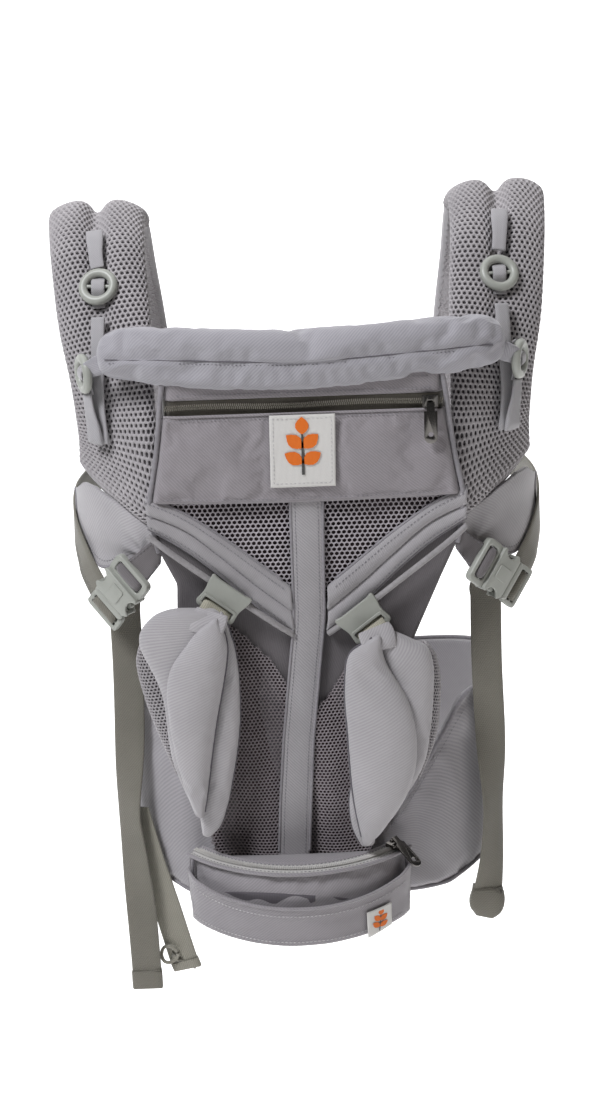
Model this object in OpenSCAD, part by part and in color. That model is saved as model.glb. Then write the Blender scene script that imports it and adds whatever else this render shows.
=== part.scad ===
// Soft baby carrier, worn on the front, with a zipped waist pouch.
// X runs across the wearer, the panel faces -Y, +Z is up.
// The origin is on the wearer's body axis at the mid height of the waist belt.

/* [Body panel] */
// Half width of the flat front of the panel
flat_half = 90; // [80:1:95]
// Radius of the turn from the front to the sides of the wearer
side_r = 100; // [95:1:105]
// Height of the top edge of the chest pocket
chest_top = 358; // [350:1:362]
// Height of the bottom edge of the chest pocket
chest_bottom = 274; // [268:1:280]
// Half width of the chest pocket at its top
chest_half_top = 107; // [100:1:110]
// Half width of the chest pocket at its bottom
chest_half_bottom = 120; // [115:1:124]
// How far the lower panel hangs to the left of the middle
lower_shift = -20; // [-22:1:-14]

/* [Straps] */
// Width of the shoulder pads
pad_w = 76; // [70:1:78]
// Thickness of the shoulder pads
pad_t = 17; // [14:1:18]
// Width of the webbing
web_w = 25; // [20:1:28]
// Thickness of the webbing
web_t = 2; // [1.6:0.2:2.4]
// Outer diameter of the button rings
ring_d = 31; // [28:1:32]

/* [Side buckles] */
// Downward slope of the left buckle in degrees
left_tilt = 50; // [45:1:55]
// Downward slope of the right buckle in degrees
right_tilt = 40; // [35:1:45]
// Turn of both buckles round the body in degrees
buckle_yaw = 35; // [32:1:38]

/* [Waist belt] */
// Half width of the belt ring
belt_half = 165; // [160:1:168]
// Height of the belt
belt_h = 136; // [124:1:140]
// Thickness of the belt padding
belt_t = 12; // [10:1:13]

/* [Pouch] */
// Radius of the pouch's curved front
pouch_r = 116; // [112:1:118]
// Height of the pouch
pouch_h = 62; // [56:1:64]

/* [Hidden] */
$fn = 64;

// Panel planes, counted from the front face of the body panel
side_y = -25;
panel_y = side_y - side_r;
panel_t = 4;
liner_t = 2;
skin_t = 2;
pocket_t = 9;

// Zips
zip_z = 350;
tape_h = 14;
tape_t = 1.2;
coil_w = 4;
coil_t = 1.6;
pocket_y = panel_y - pocket_t;
coil_y = pocket_y - tape_t;
slider_clear = 0.4;

// Slide rails under the seat bands, from the outer end to the inner end
rail_out = [122, 246];
rail_in = [16, 163];
rail_y = panel_y - 10;
rail_d = 5;
rail_angle = atan2(rail_out[1] - rail_in[1], rail_out[0] - rail_in[0]);
rail_len = norm(rail_out - rail_in);
// Distance of each seat slider from the inner end of its rail
left_slide_at = 61;
right_slide_at = 28;

// Places of the side buckles, on the curve of the panel's sides
left_buckle_at = [-148, -116, 201];
right_buckle_at = [147, -116, 205];

// Places and turns of the button rings: position, tilt back, turn round
upper_ring_at = [156, -66, 432];
upper_ring_tilt = -38;
upper_ring_yaw = 10;
lower_ring_at = [168, -103, 372];
lower_ring_yaw = 68;
ring_wire = 7;

// Stations along each soft band: x, y, z, turn of its width, width, thickness
pad_front_path = [
    [148, -100, 268, 42, 88, 9],
    [146, -99, 316, 36, 80, 12],
    [148, -88, 362, 26, 74, 15],
    [153, -66, 408, 14, pad_w, pad_t],
    [158, -34, 448, 8, pad_w, pad_t],
    [161, 4, 469, 4, pad_w, pad_t],
    [161, 18, 469, 3, pad_w, pad_t]];
pad_join_y = 5;
pad_back_path = [
    [161, -9, 467, 4, pad_w, pad_t],
    [161, 5, 469, 4, pad_w, pad_t],
    [160, 44, 458, 2, pad_w, pad_t],
    [156, 78, 420, 0, 70, pad_t],
    [150, 97, 370, 0, 66, pad_t],
    [143, 106, 310, 0, 60, 16],
    [138, 110, 252, 0, 44, 13]];
underarm_path = [
    [141, 117, 246, 84, web_t, web_w],
    [158, 110, 240, 58, web_t, web_w],
    [180, 84, 238, 32, web_t, web_w],
    [192, 40, 240, 10, web_t, web_w],
    [196, -10, 240, 0, web_t, web_w],
    [194, -50, 230, -16, web_t, web_w],
    [187, -72, 216, -30, web_t, web_w]];
pillow_path = [
    [-153, -114, 384, 90, 16, 24],
    [-140, -117, 386, 90, 28, 40],
    [-100, -123, 387, 90, 34, 46],
    [0, -128, 384, 90, 36, 46],
    [100, -123, 387, 90, 34, 46],
    [140, -117, 386, 90, 28, 40],
    [153, -114, 384, 90, 16, 22]];
left_flap_path = [
    [-80, -153, 194, 0, 34, 10],
    [-96, -154, 162, 0, 76, 20],
    [-96, -155, 115, 0, 76, 26],
    [-91, -155, 66, 0, 56, 24],
    [-87, -153, 24, 0, 34, 18],
    [-86, -151, -2, 0, 18, 10]];
right_flap_path = [
    [50, -153, 170, 0, 34, 10],
    [62, -154, 140, 0, 70, 20],
    [61, -155, 92, 0, 72, 26],
    [56, -155, 40, 0, 56, 24],
    [45, -153, 4, 0, 30, 18],
    [40, -151, -12, 0, 16, 10]];
left_tail_path = [
    [-151, -84, 176, 0, web_w, web_t],
    [-151, -89, 120, 0, web_w, web_t],
    [-153, -96, 60, -8, web_w, web_t],
    [-157, -100, 0, -40, web_w, web_t],
    [-155, -104, -40, -30, web_w, web_t],
    [-152, -107, -100, -4, web_w, web_t],
    [-151, -108, -168, 0, web_w, web_t]];
left_strand_path = [
    [-150, -94, -4, -34, 22, web_t],
    [-141, -99, -50, -28, web_w, web_t],
    [-130, -101, -100, -14, web_w, web_t],
    [-119, -100, -152, -10, web_w, web_t]];
right_tail_path = [
    [143, -86, 180, 0, web_w, web_t],
    [143, -93, 120, 0, web_w, web_t],
    [145, -101, 60, 6, web_w, web_t],
    [147, -105, 0, 44, web_w, web_t],
    [146, -106, -50, 36, web_w, web_t],
    [143, -104, -108, 10, web_w, web_t]];

// Buckle sizes in the buckle's own frame: +X out of the mouth, front towards -Y
buckle_w = 38;
box_t = 11;
frame_t = 5;
frame_back = -23;
box_back = -5;
box_mouth = 16;
cavity_w = 30;
cavity_t = 7;
prong_t = 4.6;
prong_clear = 0.4;

// Waist belt ring
belt_corner = 95;
belt_front = -118;
belt_back = 110;
belt_core = belt_half - belt_corner;

// Waist buckle and cross strap at the back
lumbar_z = 8;
waist_buckle_at = [0, belt_back + 9, lumbar_z];
cross_z = 330;
cross_y = 117;
cross_scale = 0.72;

// Pouch
pouch_x = -16;
pouch_cy = -60;
pouch_back = -131;
pouch_top = -28;
pouch_gap = 7;
pouch_skin = 2;
pouch_zip_r = pouch_r - 7;
pouch_zip_half = 52;

// Catmull-Rom point between stations b and c, at t from 0 to 1
function between(a, b, c, d, t) =
    0.5 * (2 * b + (c - a) * t + (2 * a - 5 * b + 4 * c - d) * t * t
    + (3 * b - a - 3 * c + d) * t * t * t);
function clamp_at(path, i) = path[max(0, min(len(path) - 1, i))];
function smooth(path, steps) = [
    for (i = [0 : len(path) - 2]) for (s = [0 : steps - 1])
        between(clamp_at(path, i - 1), path[i], path[i + 1], clamp_at(path, i + 2), s / steps),
    path[len(path) - 1]];
function place(p) = [p[0], p[1], p[2]];
function unit(v) = v / norm(v);
function power(v, p) = sign(v) * pow(abs(v), p);
function rim(c, across, normal, w, t, sides) = [
    for (k = [0 : sides - 1])
        c + across * (w / 2 * power(cos(360 * k / sides), 0.7))
        + normal * (t / 2 * power(sin(360 * k / sides), 0.7))];
function mirrored(path) = [for (p = path) [-p[0], p[1], p[2], -p[3], p[4], p[5]]];

// One soft band swept along its stations, with a rounded flat section
module band(path, steps = 3, sides = 16) {
    stations = smooth(path, steps);
    n = len(stations);
    rims = [for (i = [0 : n - 1])
        let (
            ahead = place(stations[min(n - 1, i + 1)]),
            behind = place(stations[max(0, i - 1)]),
            along = unit(ahead - behind),
            level = [cos(stations[i][3]), sin(stations[i][3]), 0],
            normal = unit(cross(along, level)),
            across = cross(normal, along))
        rim(place(stations[i]), across, normal, stations[i][4], stations[i][5], sides)];
    points = [for (r = rims) for (p = r) p];
    walls = [for (i = [0 : n - 2]) for (k = [0 : sides - 1]) each [
        [i * sides + k, (i + 1) * sides + k, (i + 1) * sides + (k + 1) % sides],
        [i * sides + k, (i + 1) * sides + (k + 1) % sides, i * sides + (k + 1) % sides]]];
    first = [for (k = [0 : sides - 1]) k];
    last = [for (k = [sides - 1 : -1 : 0]) (n - 1) * sides + k];
    polyhedron(points, concat(walls, [first, last]), convexity = 6);
}

// A plate facing -Y: a front outline in X and Z, from front to front + depth in Y
module plate(outline, front, depth) {
    translate([0, front + depth, 0])
        rotate([90, 0, 0])
            linear_extrude(height = depth) polygon(outline);
}

// The curved side of the panel on the right, between two distances from its turning axis
module side_shell(inner, outer) {
    difference() {
        translate([flat_half, side_y, 150]) cylinder(r = outer, h = 200);
        translate([flat_half, side_y, 149]) cylinder(r = inner, h = 202);
        translate([flat_half - 120, side_y - 120, 148]) cube([120, 240, 204]);
        translate([flat_half - 1, side_y, 148]) cube([120, 120, 204]);
    }
}

/* ---- Panel and chest pocket ---- */

lower_outline = [
    [chest_half_top, chest_top], [chest_half_bottom, chest_bottom], [118, 236], [104, 205],
    [88 + lower_shift, 120], [70 + lower_shift, 0], [62 + lower_shift, -56],
    [-62 + lower_shift, -56], [-70 + lower_shift, 0], [-88 + lower_shift, 120], [-104, 205],
    [-118, 236], [-chest_half_bottom, chest_bottom], [-chest_half_top, chest_top]];
pocket_outline = [
    [chest_half_top, chest_top], [chest_half_bottom, chest_bottom],
    [-chest_half_bottom, chest_bottom], [-chest_half_top, chest_top]];
hood_outline = [[90, 336], [96, 290], [-96, 290], [-90, 336]];

module inner_liner() {
    color("dimgray") plate(lower_outline, panel_y + panel_t, liner_t);
}

module body_panel() {
    color("gray") plate(lower_outline, panel_y, panel_t);
}

// Front of the chest pocket, hollow behind for the stowed hood
module chest_pocket() {
    color("darkgray") difference() {
        plate(pocket_outline, pocket_y, pocket_t);
        plate(hood_outline, panel_y - 6, 7);
    }
}

module stowed_hood() {
    color("slategray") translate([0, panel_y - 3, 312])
        cube([176, 5, 36], center = true);
}

module zip_run(length) {
    translate([-length / 2, -tape_t, -tape_h / 2]) cube([length, tape_t, tape_h]);
    translate([-length / 2, -tape_t - coil_t, -coil_w / 2]) cube([length, coil_t, coil_w]);
}

module chest_zip() {
    color("darkolivegreen") translate([0, pocket_y, zip_z]) zip_run(2 * chest_half_top);
}

// Zip slider on its own frame: runs along X, coil behind it at y = 0
module zip_slider_body() {
    difference() {
        translate([-6, -4, -4.5]) cube([12, 4 - slider_clear, 9]);
        translate([-7, -coil_t - slider_clear, -coil_w / 2 - slider_clear])
            cube([14, coil_t + 1, coil_w + 2 * slider_clear]);
    }
    translate([-2, -5.6, 0.5]) cube([4, 1.8, 3]);
}

// Zip pull hanging from the slider's bridge, its pin hole at the pivot
module zip_pull_body() {
    difference() {
        union() {
            translate([-5, -1.5, -26]) cube([10, 1.6, 20]);
            translate([-3, -1.5, -8]) cube([6, 1.6, 9]);
            translate([0, 0.1, -26]) rotate([90, 0, 0]) cylinder(d = 10, h = 1.6);
        }
        translate([0, 1, -24]) rotate([90, 0, 0]) cylinder(d = 4, h = 4);
    }
}

slider_x = 96;
pull_y = coil_y - 6.4;

module chest_zip_slider() {
    color("dimgray") translate([slider_x, coil_y, zip_z]) zip_slider_body();
}

module chest_zip_pull() {
    color("gray") translate([slider_x, pull_y, zip_z - 1]) zip_pull_body();
}

module badge_patch() {
    color("whitesmoke") translate([-27, pocket_y - 1.2, 284]) cube([50, 1.2, 58]);
}

/* ---- Front layers of the panel ---- */

strip_outline = [
    [12.5, chest_bottom - 0.5], [12, 174], [12.5 + 0.65 * lower_shift, 70],
    [12.5 + lower_shift, -44], [-12.5 + lower_shift, -44], [-12.5 + 0.65 * lower_shift, 70],
    [-13, 174], [-12.5, chest_bottom - 0.5]];

module centre_strip() {
    color("gray") plate(strip_outline, panel_y - skin_t - 1, skin_t + 1);
}

function flip(outline) = [for (p = outline) [-p[0], p[1]]];
upper_mesh_outline = [[14.5, 273], [110, 273], [14.5, 208]];
right_mesh_outline = [[9, 100], [40, 140], [50, 60], [32, -40], [14 + lower_shift, -40],
    [14 + 0.65 * lower_shift, 70]];
left_mesh_outline = [[-24, 114], [-66, 172], [-70, 60], [-76, -40], [-14 + lower_shift, -40],
    [-14 + 0.65 * lower_shift, 70]];

module mesh_panels() {
    color("saddlebrown") {
        plate(upper_mesh_outline, panel_y - 1, 1);
        plate(flip(upper_mesh_outline), panel_y - 1, 1);
        plate(right_mesh_outline, panel_y - 1, 1);
        plate(left_mesh_outline, panel_y - 1, 1);
    }
}

band_outline = [[14.8, 206], [112, 273], [118, 273], [117, 238], [14.8, 166]];

module seat_bands() {
    color("silver") {
        plate(band_outline, panel_y - 4, 4);
        plate(flip(band_outline), panel_y - 4, 4);
    }
}

module rail() {
    translate([rail_in[0], rail_y, rail_in[1]]) rotate([0, -rail_angle, 0]) {
        rotate([0, 90, 0]) cylinder(d = rail_d, h = rail_len);
        for (along = [1.5, rail_len - 4])
            translate([along, -4, -4]) cube([8, 9.7, 8]);
    }
}

module slide_rails() {
    color("lightgray") {
        rail();
        mirror([1, 0, 0]) rail();
    }
}

// Seat slider on the right rail's own axis: a sleeve on the rail and a slotted plate below
module seat_slider_at(along) {
    translate([rail_in[0], rail_y, rail_in[1]]) rotate([0, -rail_angle, 0]) translate([along, 0, 0])
        difference() {
            union() {
                translate([-17, 0, 0]) rotate([0, 90, 0]) cylinder(d = rail_d + 4.6, h = 34);
                translate([-18, -4.8, -20]) cube([36, 3.4, 26]);
            }
            translate([-20, 0, 0]) rotate([0, 90, 0]) cylinder(d = rail_d + 0.8, h = 40);
            translate([-web_w / 2 - 1, -6, -16]) cube([web_w + 2, 6, 5]);
        }
}

module left_seat_slider() {
    color("darkseagreen") mirror([1, 0, 0]) seat_slider_at(left_slide_at);
}

module right_seat_slider() {
    color("darkseagreen") seat_slider_at(right_slide_at);
}

// Ribbed webbing through the slider's slot, running down to the top of the leg flap
module slider_webbing_at(along) {
    translate([rail_in[0], rail_y, rail_in[1]]) rotate([0, -rail_angle, 0]) translate([along, 0, 0]) {
        translate([-web_w / 2, -7.2, -28]) cube([web_w, web_t, 16]);
        translate([-web_w / 2, -7.2, -14]) cube([web_w, 7.2, web_t]);
    }
}

module left_slider_webbing() {
    color("darkkhaki") mirror([1, 0, 0]) slider_webbing_at(left_slide_at);
}

module right_slider_webbing() {
    color("darkkhaki") slider_webbing_at(right_slide_at);
}

module left_leg_flap() {
    color("silver") band(left_flap_path, 3, 20);
}

module right_leg_flap() {
    color("silver") band(right_flap_path, 3, 20);
}

/* ---- Sides, shoulder pads and underarm webbing ---- */

wing_outline = [[111, 330], [122, 262], [116, 236], [131, 212], [146, 230], [163, 209],
    [183, 214], [188, 250], [189, 290], [150, 290]];

// Everything in front of and behind the flat panel, to keep side pieces out of it
module panel_room() {
    plate(lower_outline, panel_y - pocket_t - 1, pocket_t + panel_t + liner_t + 1.3);
}

module right_wing() {
    difference() {
        intersection() {
            side_shell(side_r - panel_t, side_r);
            plate(wing_outline, -140, 140);
        }
        panel_room();
        band(pad_front_path, 4, 20);
    }
}

module left_side_wing() {
    color("silver") mirror([1, 0, 0]) right_wing();
}

module right_side_wing() {
    color("silver") right_wing();
}

// The pads' two halves meet in an upright plane at the top of the shoulder
module pad_front() {
    difference() {
        band(pad_front_path, 4, 20);
        panel_room();
        translate([100, pad_join_y, 400]) cube([120, 100, 120]);
    }
}

module pad_back() {
    difference() {
        band(pad_back_path, 4, 20);
        translate([100, pad_join_y - 100, 400]) cube([120, 100.2, 120]);
    }
}

module left_shoulder_front() {
    color("gray") mirror([1, 0, 0]) pad_front();
}

module right_shoulder_front() {
    color("gray") pad_front();
}

module left_shoulder_back() {
    color("darkgray") mirror([1, 0, 0]) pad_back();
}

module right_shoulder_back() {
    color("darkgray") pad_back();
}

module underarm_webbing() {
    difference() {
        band(underarm_path, 4, 8);
        band(pad_back_path, 4, 20);
    }
}

module left_underarm_webbing() {
    color("olive") mirror([1, 0, 0]) underarm_webbing();
}

module right_underarm_webbing() {
    color("olive") underarm_webbing();
}

/* ---- Head support and button rings ---- */

module head_support() {
    color("slategray") band(pillow_path, 3, 20);
}

module at_upper_ring() {
    translate(upper_ring_at) rotate([upper_ring_tilt, 0, upper_ring_yaw]) children();
}

module at_lower_ring() {
    translate(lower_ring_at) rotate([0, 0, lower_ring_yaw]) children();
}

// Button ring facing -Y with a bar across its middle
module button_ring() {
    rotate([90, 0, 0]) rotate_extrude() translate([(ring_d - ring_wire) / 2, 0]) circle(d = ring_wire);
    rotate([0, 90, 0]) cylinder(d = 3, h = ring_d - ring_wire, center = true);
}

module left_upper_ring() {
    color("darkseagreen") mirror([1, 0, 0]) at_upper_ring() button_ring();
}

module right_upper_ring() {
    color("darkseagreen") at_upper_ring() button_ring();
}

module left_lower_ring() {
    color("darkseagreen") mirror([1, 0, 0]) at_lower_ring() button_ring();
}

module right_lower_ring() {
    color("darkseagreen") at_lower_ring() button_ring();
}

// The strap runs down from below the upper ring, and a short tab holds the ring from above
button_strap_path = [
    [156, -79, 409, 14, 11, 1.6],
    [157, -89, 388, 24, 11, 1.6],
    [158, -98, 352, 32, 11, 1.6],
    [157, -101, 330, 34, 11, 1.6]];
button_tab_path = [
    [159, -37, 460, 6, 11, 1.6],
    [158, -45, 453, 8, 11, 1.6]];

module button_straps() {
    color("silver") {
        for (path = [button_strap_path, button_tab_path]) {
            band(path, 3, 8);
            band(mirrored(path), 3, 8);
        }
    }
}

/* ---- Side-release buckles ---- */

// Female half: a slotted frame for the webbing and a box with side windows
module buckle_frame_body() {
    difference() {
        union() {
            translate([frame_back, -frame_t / 2, -buckle_w / 2])
                cube([box_back - frame_back, frame_t, buckle_w]);
            translate([box_back, -box_t / 2, -buckle_w / 2])
                cube([box_mouth - box_back, box_t, buckle_w]);
        }
        translate([frame_back + 4, -frame_t, -web_w / 2 - 1])
            cube([10, 2 * frame_t, web_w + 2]);
        translate([box_back + 2, -cavity_t / 2, -cavity_w / 2])
            cube([box_mouth - box_back, cavity_t, cavity_w]);
        for (side = [-1, 1])
            translate([4, 0, side * (buckle_w / 2 + 2)]) rotate([90, 0, 0])
                cylinder(d = 13, h = box_t + 2, center = true);
    }
}

// Male half: grip block, guide tongue and the slotted end for the webbing
module buckle_insert_body() {
    difference() {
        union() {
            translate([box_mouth + prong_clear, -5, -17]) cube([6, 10, 34]);
            translate([0, -2.4, -4]) cube([box_mouth + 1, 4.8, 8]);
            translate([box_mouth + 6, -2.5, -17]) cube([14, 5, 34]);
        }
        translate([box_mouth + 9, -4, -web_w / 2 - 1]) cube([3, 8, web_w + 2]);
        translate([box_mouth + 14, -4, -web_w / 2 - 1]) cube([3, 8, web_w + 2]);
    }
}

// Spring prong above the tongue, kept flush with the cavity wall
module prong_body() {
    translate([2, -prong_t / 2, 7.5]) cube([box_mouth - 2, prong_t, 4]);
    translate([2, -prong_t / 2, 7.5]) cube([5, prong_t, 7]);
}

module at_left_buckle() {
    mirror([1, 0, 0])
        translate([-left_buckle_at[0], left_buckle_at[1], left_buckle_at[2]])
            rotate([0, left_tilt, buckle_yaw]) children();
}

module at_right_buckle() {
    translate(right_buckle_at) rotate([0, right_tilt, buckle_yaw]) children();
}

module left_buckle_frame() {
    color("darkseagreen") at_left_buckle() buckle_frame_body();
}

module right_buckle_frame() {
    color("darkseagreen") at_right_buckle() buckle_frame_body();
}

module left_buckle_insert() {
    color("seagreen") at_left_buckle() buckle_insert_body();
}

module right_buckle_insert() {
    color("seagreen") at_right_buckle() buckle_insert_body();
}

module left_prong_upper() {
    color("seagreen") at_left_buckle() prong_body();
}

module left_prong_lower() {
    color("seagreen") at_left_buckle() mirror([0, 0, 1]) prong_body();
}

module right_prong_upper() {
    color("seagreen") at_right_buckle() prong_body();
}

module right_prong_lower() {
    color("seagreen") at_right_buckle() mirror([0, 0, 1]) prong_body();
}

module left_webbing_tail() {
    color("olive") {
        band(left_tail_path, 4, 8);
        band(left_strand_path, 4, 8);
    }
}

module right_webbing_tail() {
    color("olive") band(right_tail_path, 4, 8);
}

/* ---- Waist belt ---- */

module belt_plan(grow) {
    for (sx = [-1, 1]) {
        translate([sx * belt_core, belt_front + belt_corner]) circle(r = belt_corner + grow);
        translate([sx * belt_core, belt_back - belt_corner]) circle(r = belt_corner + grow);
    }
    translate([-belt_core, belt_front - grow]) square([2 * belt_core, belt_back - belt_front + 2 * grow]);
    translate([-belt_half - grow, belt_front + belt_corner])
        square([2 * belt_half + 2 * grow, belt_back - belt_front - 2 * belt_corner]);
}

belt_low = -60;
belt_wing_outline = [[2, -70], [60, -78], [110, -74], [146, belt_low], [180, belt_low],
    [180, belt_low + belt_h], [164, belt_low + belt_h], [150, 88], [136, 93], [124, 89], [86, 27],
    [60, -14], [2, -34]];

module belt_wing() {
    intersection() {
        translate([0, 0, -80]) linear_extrude(height = belt_h + 60) difference() {
            belt_plan(0);
            belt_plan(-belt_t);
        }
        union() {
            plate(belt_wing_outline, belt_front - 2, 90);
            translate([80, belt_front + 88, belt_low]) cube([100, 160, belt_h]);
        }
    }
}

module waist_belt_right() {
    color("silver") belt_wing();
}

module waist_belt_left() {
    color("silver") mirror([1, 0, 0]) belt_wing();
}

module lumbar_pad() {
    color("gray") translate([0, belt_back, lumbar_z]) rotate([90, 0, 0]) linear_extrude(height = belt_t) {
        square([112, 116], center = true);
        square([152, 76], center = true);
        for (sx = [-1, 1]) for (sz = [-1, 1]) translate([sx * 56, sz * 38]) circle(r = 20);
    }
}

module at_waist_buckle() {
    translate(waist_buckle_at) mirror([0, 1, 0]) children();
}

// Short webbing loop from the left wing to the buckle's frame
module waist_loop() {
    color("olive") translate([-104, belt_back + 4, lumbar_z - web_w / 2])
        cube([86, web_t, web_w]);
}

module waist_buckle_frame() {
    color("darkseagreen") at_waist_buckle() buckle_frame_body();
}

module waist_buckle_insert() {
    color("seagreen") at_waist_buckle() buckle_insert_body();
}

module waist_prong_upper() {
    color("seagreen") at_waist_buckle() prong_body();
}

module waist_prong_lower() {
    color("seagreen") at_waist_buckle() mirror([0, 0, 1]) prong_body();
}

module waist_webbing() {
    color("olive") translate([38, belt_back + 3, lumbar_z - web_w / 2])
        cube([70, web_t, web_w]);
}

/* ---- Cross strap at the back ---- */

module at_cross_buckle() {
    translate([0, cross_y, cross_z]) scale(cross_scale) mirror([0, 1, 0]) children();
}

// Cross strap with a clip on each shoulder pad and webbing towards the buckle
module cross_strap() {
    color("olive") {
        translate([-150, cross_y - web_t / 2, cross_z - 9]) cube([133, web_t, 18]);
        translate([56, cross_y - web_t / 2, cross_z - 9]) cube([94, web_t, 18]);
    }
    color("seagreen") for (sx = [-1, 1])
        translate([sx * 146, cross_y, cross_z]) cube([26, 5, 26], center = true);
}

module cross_buckle_frame() {
    color("darkseagreen") at_cross_buckle() buckle_frame_body();
}

module cross_buckle_insert() {
    color("seagreen") at_cross_buckle() buckle_insert_body();
}

module cross_prong_upper() {
    color("seagreen") at_cross_buckle() prong_body();
}

module cross_prong_lower() {
    color("seagreen") at_cross_buckle() mirror([0, 0, 1]) prong_body();
}

/* ---- Waist pouch ---- */

module pouch_plan(r) {
    intersection() {
        translate([pouch_x, pouch_cy]) circle(r = r);
        translate([pouch_x - 150, pouch_back - 100]) square([300, 100]);
    }
}

// Main compartment with an open pocket across its front
module pouch_body() {
    color("silver") translate([0, 0, pouch_top - pouch_h]) difference() {
        union() {
            linear_extrude(height = pouch_h) pouch_plan(pouch_r);
            linear_extrude(height = pouch_h - 20) pouch_plan(pouch_r + pouch_gap + pouch_skin);
        }
        translate([0, 0, 3]) linear_extrude(height = pouch_h - 7) intersection() {
            pouch_plan(pouch_r - 3);
            translate([pouch_x - 120, pouch_back - 100]) square([240, 97]);
        }
        translate([0, 0, 3]) linear_extrude(height = pouch_h) difference() {
            pouch_plan(pouch_r + pouch_gap);
            pouch_plan(pouch_r);
            translate([pouch_x - 150, pouch_back - 14]) square([300, 20]);
        }
    }
}

module pouch_arc(r_in, r_out, h, half_angle) {
    translate([pouch_x, pouch_cy, 0]) rotate([0, 0, -90 - half_angle])
        rotate_extrude(angle = 2 * half_angle) translate([r_in, 0]) square([r_out - r_in, h]);
}

module pouch_zip() {
    color("lightgray") translate([0, 0, pouch_top]) {
        pouch_arc(pouch_zip_r - 7, pouch_zip_r + 7, tape_t, pouch_zip_half);
        translate([0, 0, tape_t]) pouch_arc(pouch_zip_r - 2, pouch_zip_r + 2, coil_t, pouch_zip_half);
    }
}

pouch_slider_angle = 46;
pouch_pull_droop = 32;

module at_pouch_slider() {
    translate([pouch_x, pouch_cy, pouch_top + tape_t]) rotate([0, 0, pouch_slider_angle])
        translate([0, -pouch_zip_r, 0]) rotate([-90, 0, 0]) children();
}

module pouch_zip_slider() {
    color("dimgray") at_pouch_slider() zip_slider_body();
}

// Pull lying forward over the top and down the front of the pouch
module pouch_zip_pull() {
    color("gray") at_pouch_slider() translate([0, -7.2, 0]) rotate([pouch_pull_droop, 0, 0])
        zip_pull_body();
}

inner_liner();
body_panel();
chest_pocket();
stowed_hood();
chest_zip();
badge_patch();
centre_strip();
mesh_panels();
seat_bands();
slide_rails();
left_side_wing();
right_side_wing();
left_shoulder_front();
right_shoulder_front();
left_shoulder_back();
right_shoulder_back();
left_underarm_webbing();
right_underarm_webbing();
button_straps();
left_buckle_frame();
right_buckle_frame();
waist_belt_left();
waist_belt_right();
lumbar_pad();
waist_loop();
waist_buckle_frame();
chest_zip_slider();
chest_zip_pull();
left_seat_slider();
right_seat_slider();
left_slider_webbing();
right_slider_webbing();
left_leg_flap();
right_leg_flap();
head_support();
left_upper_ring();
right_upper_ring();
left_lower_ring();
right_lower_ring();
left_buckle_insert();
right_buckle_insert();
left_prong_upper();
left_prong_lower();
right_prong_upper();
right_prong_lower();
left_webbing_tail();
right_webbing_tail();
waist_buckle_insert();
waist_prong_upper();
waist_prong_lower();
waist_webbing();
cross_strap();
cross_buckle_frame();
cross_buckle_insert();
cross_prong_upper();
cross_prong_lower();
pouch_body();
pouch_zip();
pouch_zip_slider();
pouch_zip_pull();
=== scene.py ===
# Soft baby carrier, worn on the front: the looks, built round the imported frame.
import math

import bmesh
import bpy
import numpy as np
from mathutils import Matrix, Vector, noise


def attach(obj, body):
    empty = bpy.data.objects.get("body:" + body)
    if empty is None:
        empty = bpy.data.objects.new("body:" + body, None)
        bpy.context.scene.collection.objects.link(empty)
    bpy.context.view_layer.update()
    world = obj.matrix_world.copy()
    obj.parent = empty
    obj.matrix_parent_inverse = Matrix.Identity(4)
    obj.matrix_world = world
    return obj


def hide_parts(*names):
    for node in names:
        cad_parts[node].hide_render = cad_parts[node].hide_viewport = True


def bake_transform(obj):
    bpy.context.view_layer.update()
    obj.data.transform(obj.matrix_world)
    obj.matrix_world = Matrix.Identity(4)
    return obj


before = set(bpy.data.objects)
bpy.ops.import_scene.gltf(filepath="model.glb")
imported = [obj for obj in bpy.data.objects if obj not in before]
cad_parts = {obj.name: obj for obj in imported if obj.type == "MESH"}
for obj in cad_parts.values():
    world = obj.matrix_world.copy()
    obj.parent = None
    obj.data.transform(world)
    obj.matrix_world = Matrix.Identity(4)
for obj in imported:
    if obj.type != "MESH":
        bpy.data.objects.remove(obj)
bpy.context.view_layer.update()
scene = bpy.context.scene
MM = 0.001

# ---------------------------------------------------------------- Camera, floor and light
# A worn carrier is looked at from a little above, by a person standing in front of it.
# Soft daylight comes from the upper left, and a white sweep stands behind and below.

AIM = Vector((0, -0.06, 0.21))
CAMERA_DISTANCE = 1.5
CAMERA_RISE = math.radians(19)
CAMERA_ROLL = math.radians(-2)
VIEW_HEIGHT = 0.89708  # metres, at the aim point

camera_data = bpy.data.cameras.new("view_camera")
camera_data.sensor_width = 36
camera_data.lens = camera_data.sensor_width * CAMERA_DISTANCE / VIEW_HEIGHT
camera = bpy.data.objects.new("view_camera", camera_data)
scene.collection.objects.link(camera)
camera.location = AIM + CAMERA_DISTANCE * Vector((0, -math.cos(CAMERA_RISE), math.sin(CAMERA_RISE)))
camera_turn = Matrix.Rotation(math.radians(90) - CAMERA_RISE, 3, "X")
camera.rotation_euler = (camera_turn @ Matrix.Rotation(CAMERA_ROLL, 3, "Z")).to_euler()
scene.camera = camera


def linear(code):
    """An sRGB hex colour as linear red, green, blue and alpha."""
    parts = [int(code[i : i + 2], 16) / 255 for i in (1, 3, 5)]
    return [p / 12.92 if p <= 0.04045 else ((p + 0.055) / 1.055) ** 2.4 for p in parts] + [1.0]


def add_node(tree, kind, inputs=None, **settings):
    """Adds a node, sets its settings, and sets or links its inputs by name or number."""
    made = tree.nodes.new(kind)
    for key, value in settings.items():
        setattr(made, key, value)
    for key, value in (inputs or {}).items():
        socket = made.inputs[key]
        if isinstance(value, bpy.types.NodeSocket):
            tree.links.new(value, socket)
        else:
            socket.default_value = value
    return made


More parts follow.
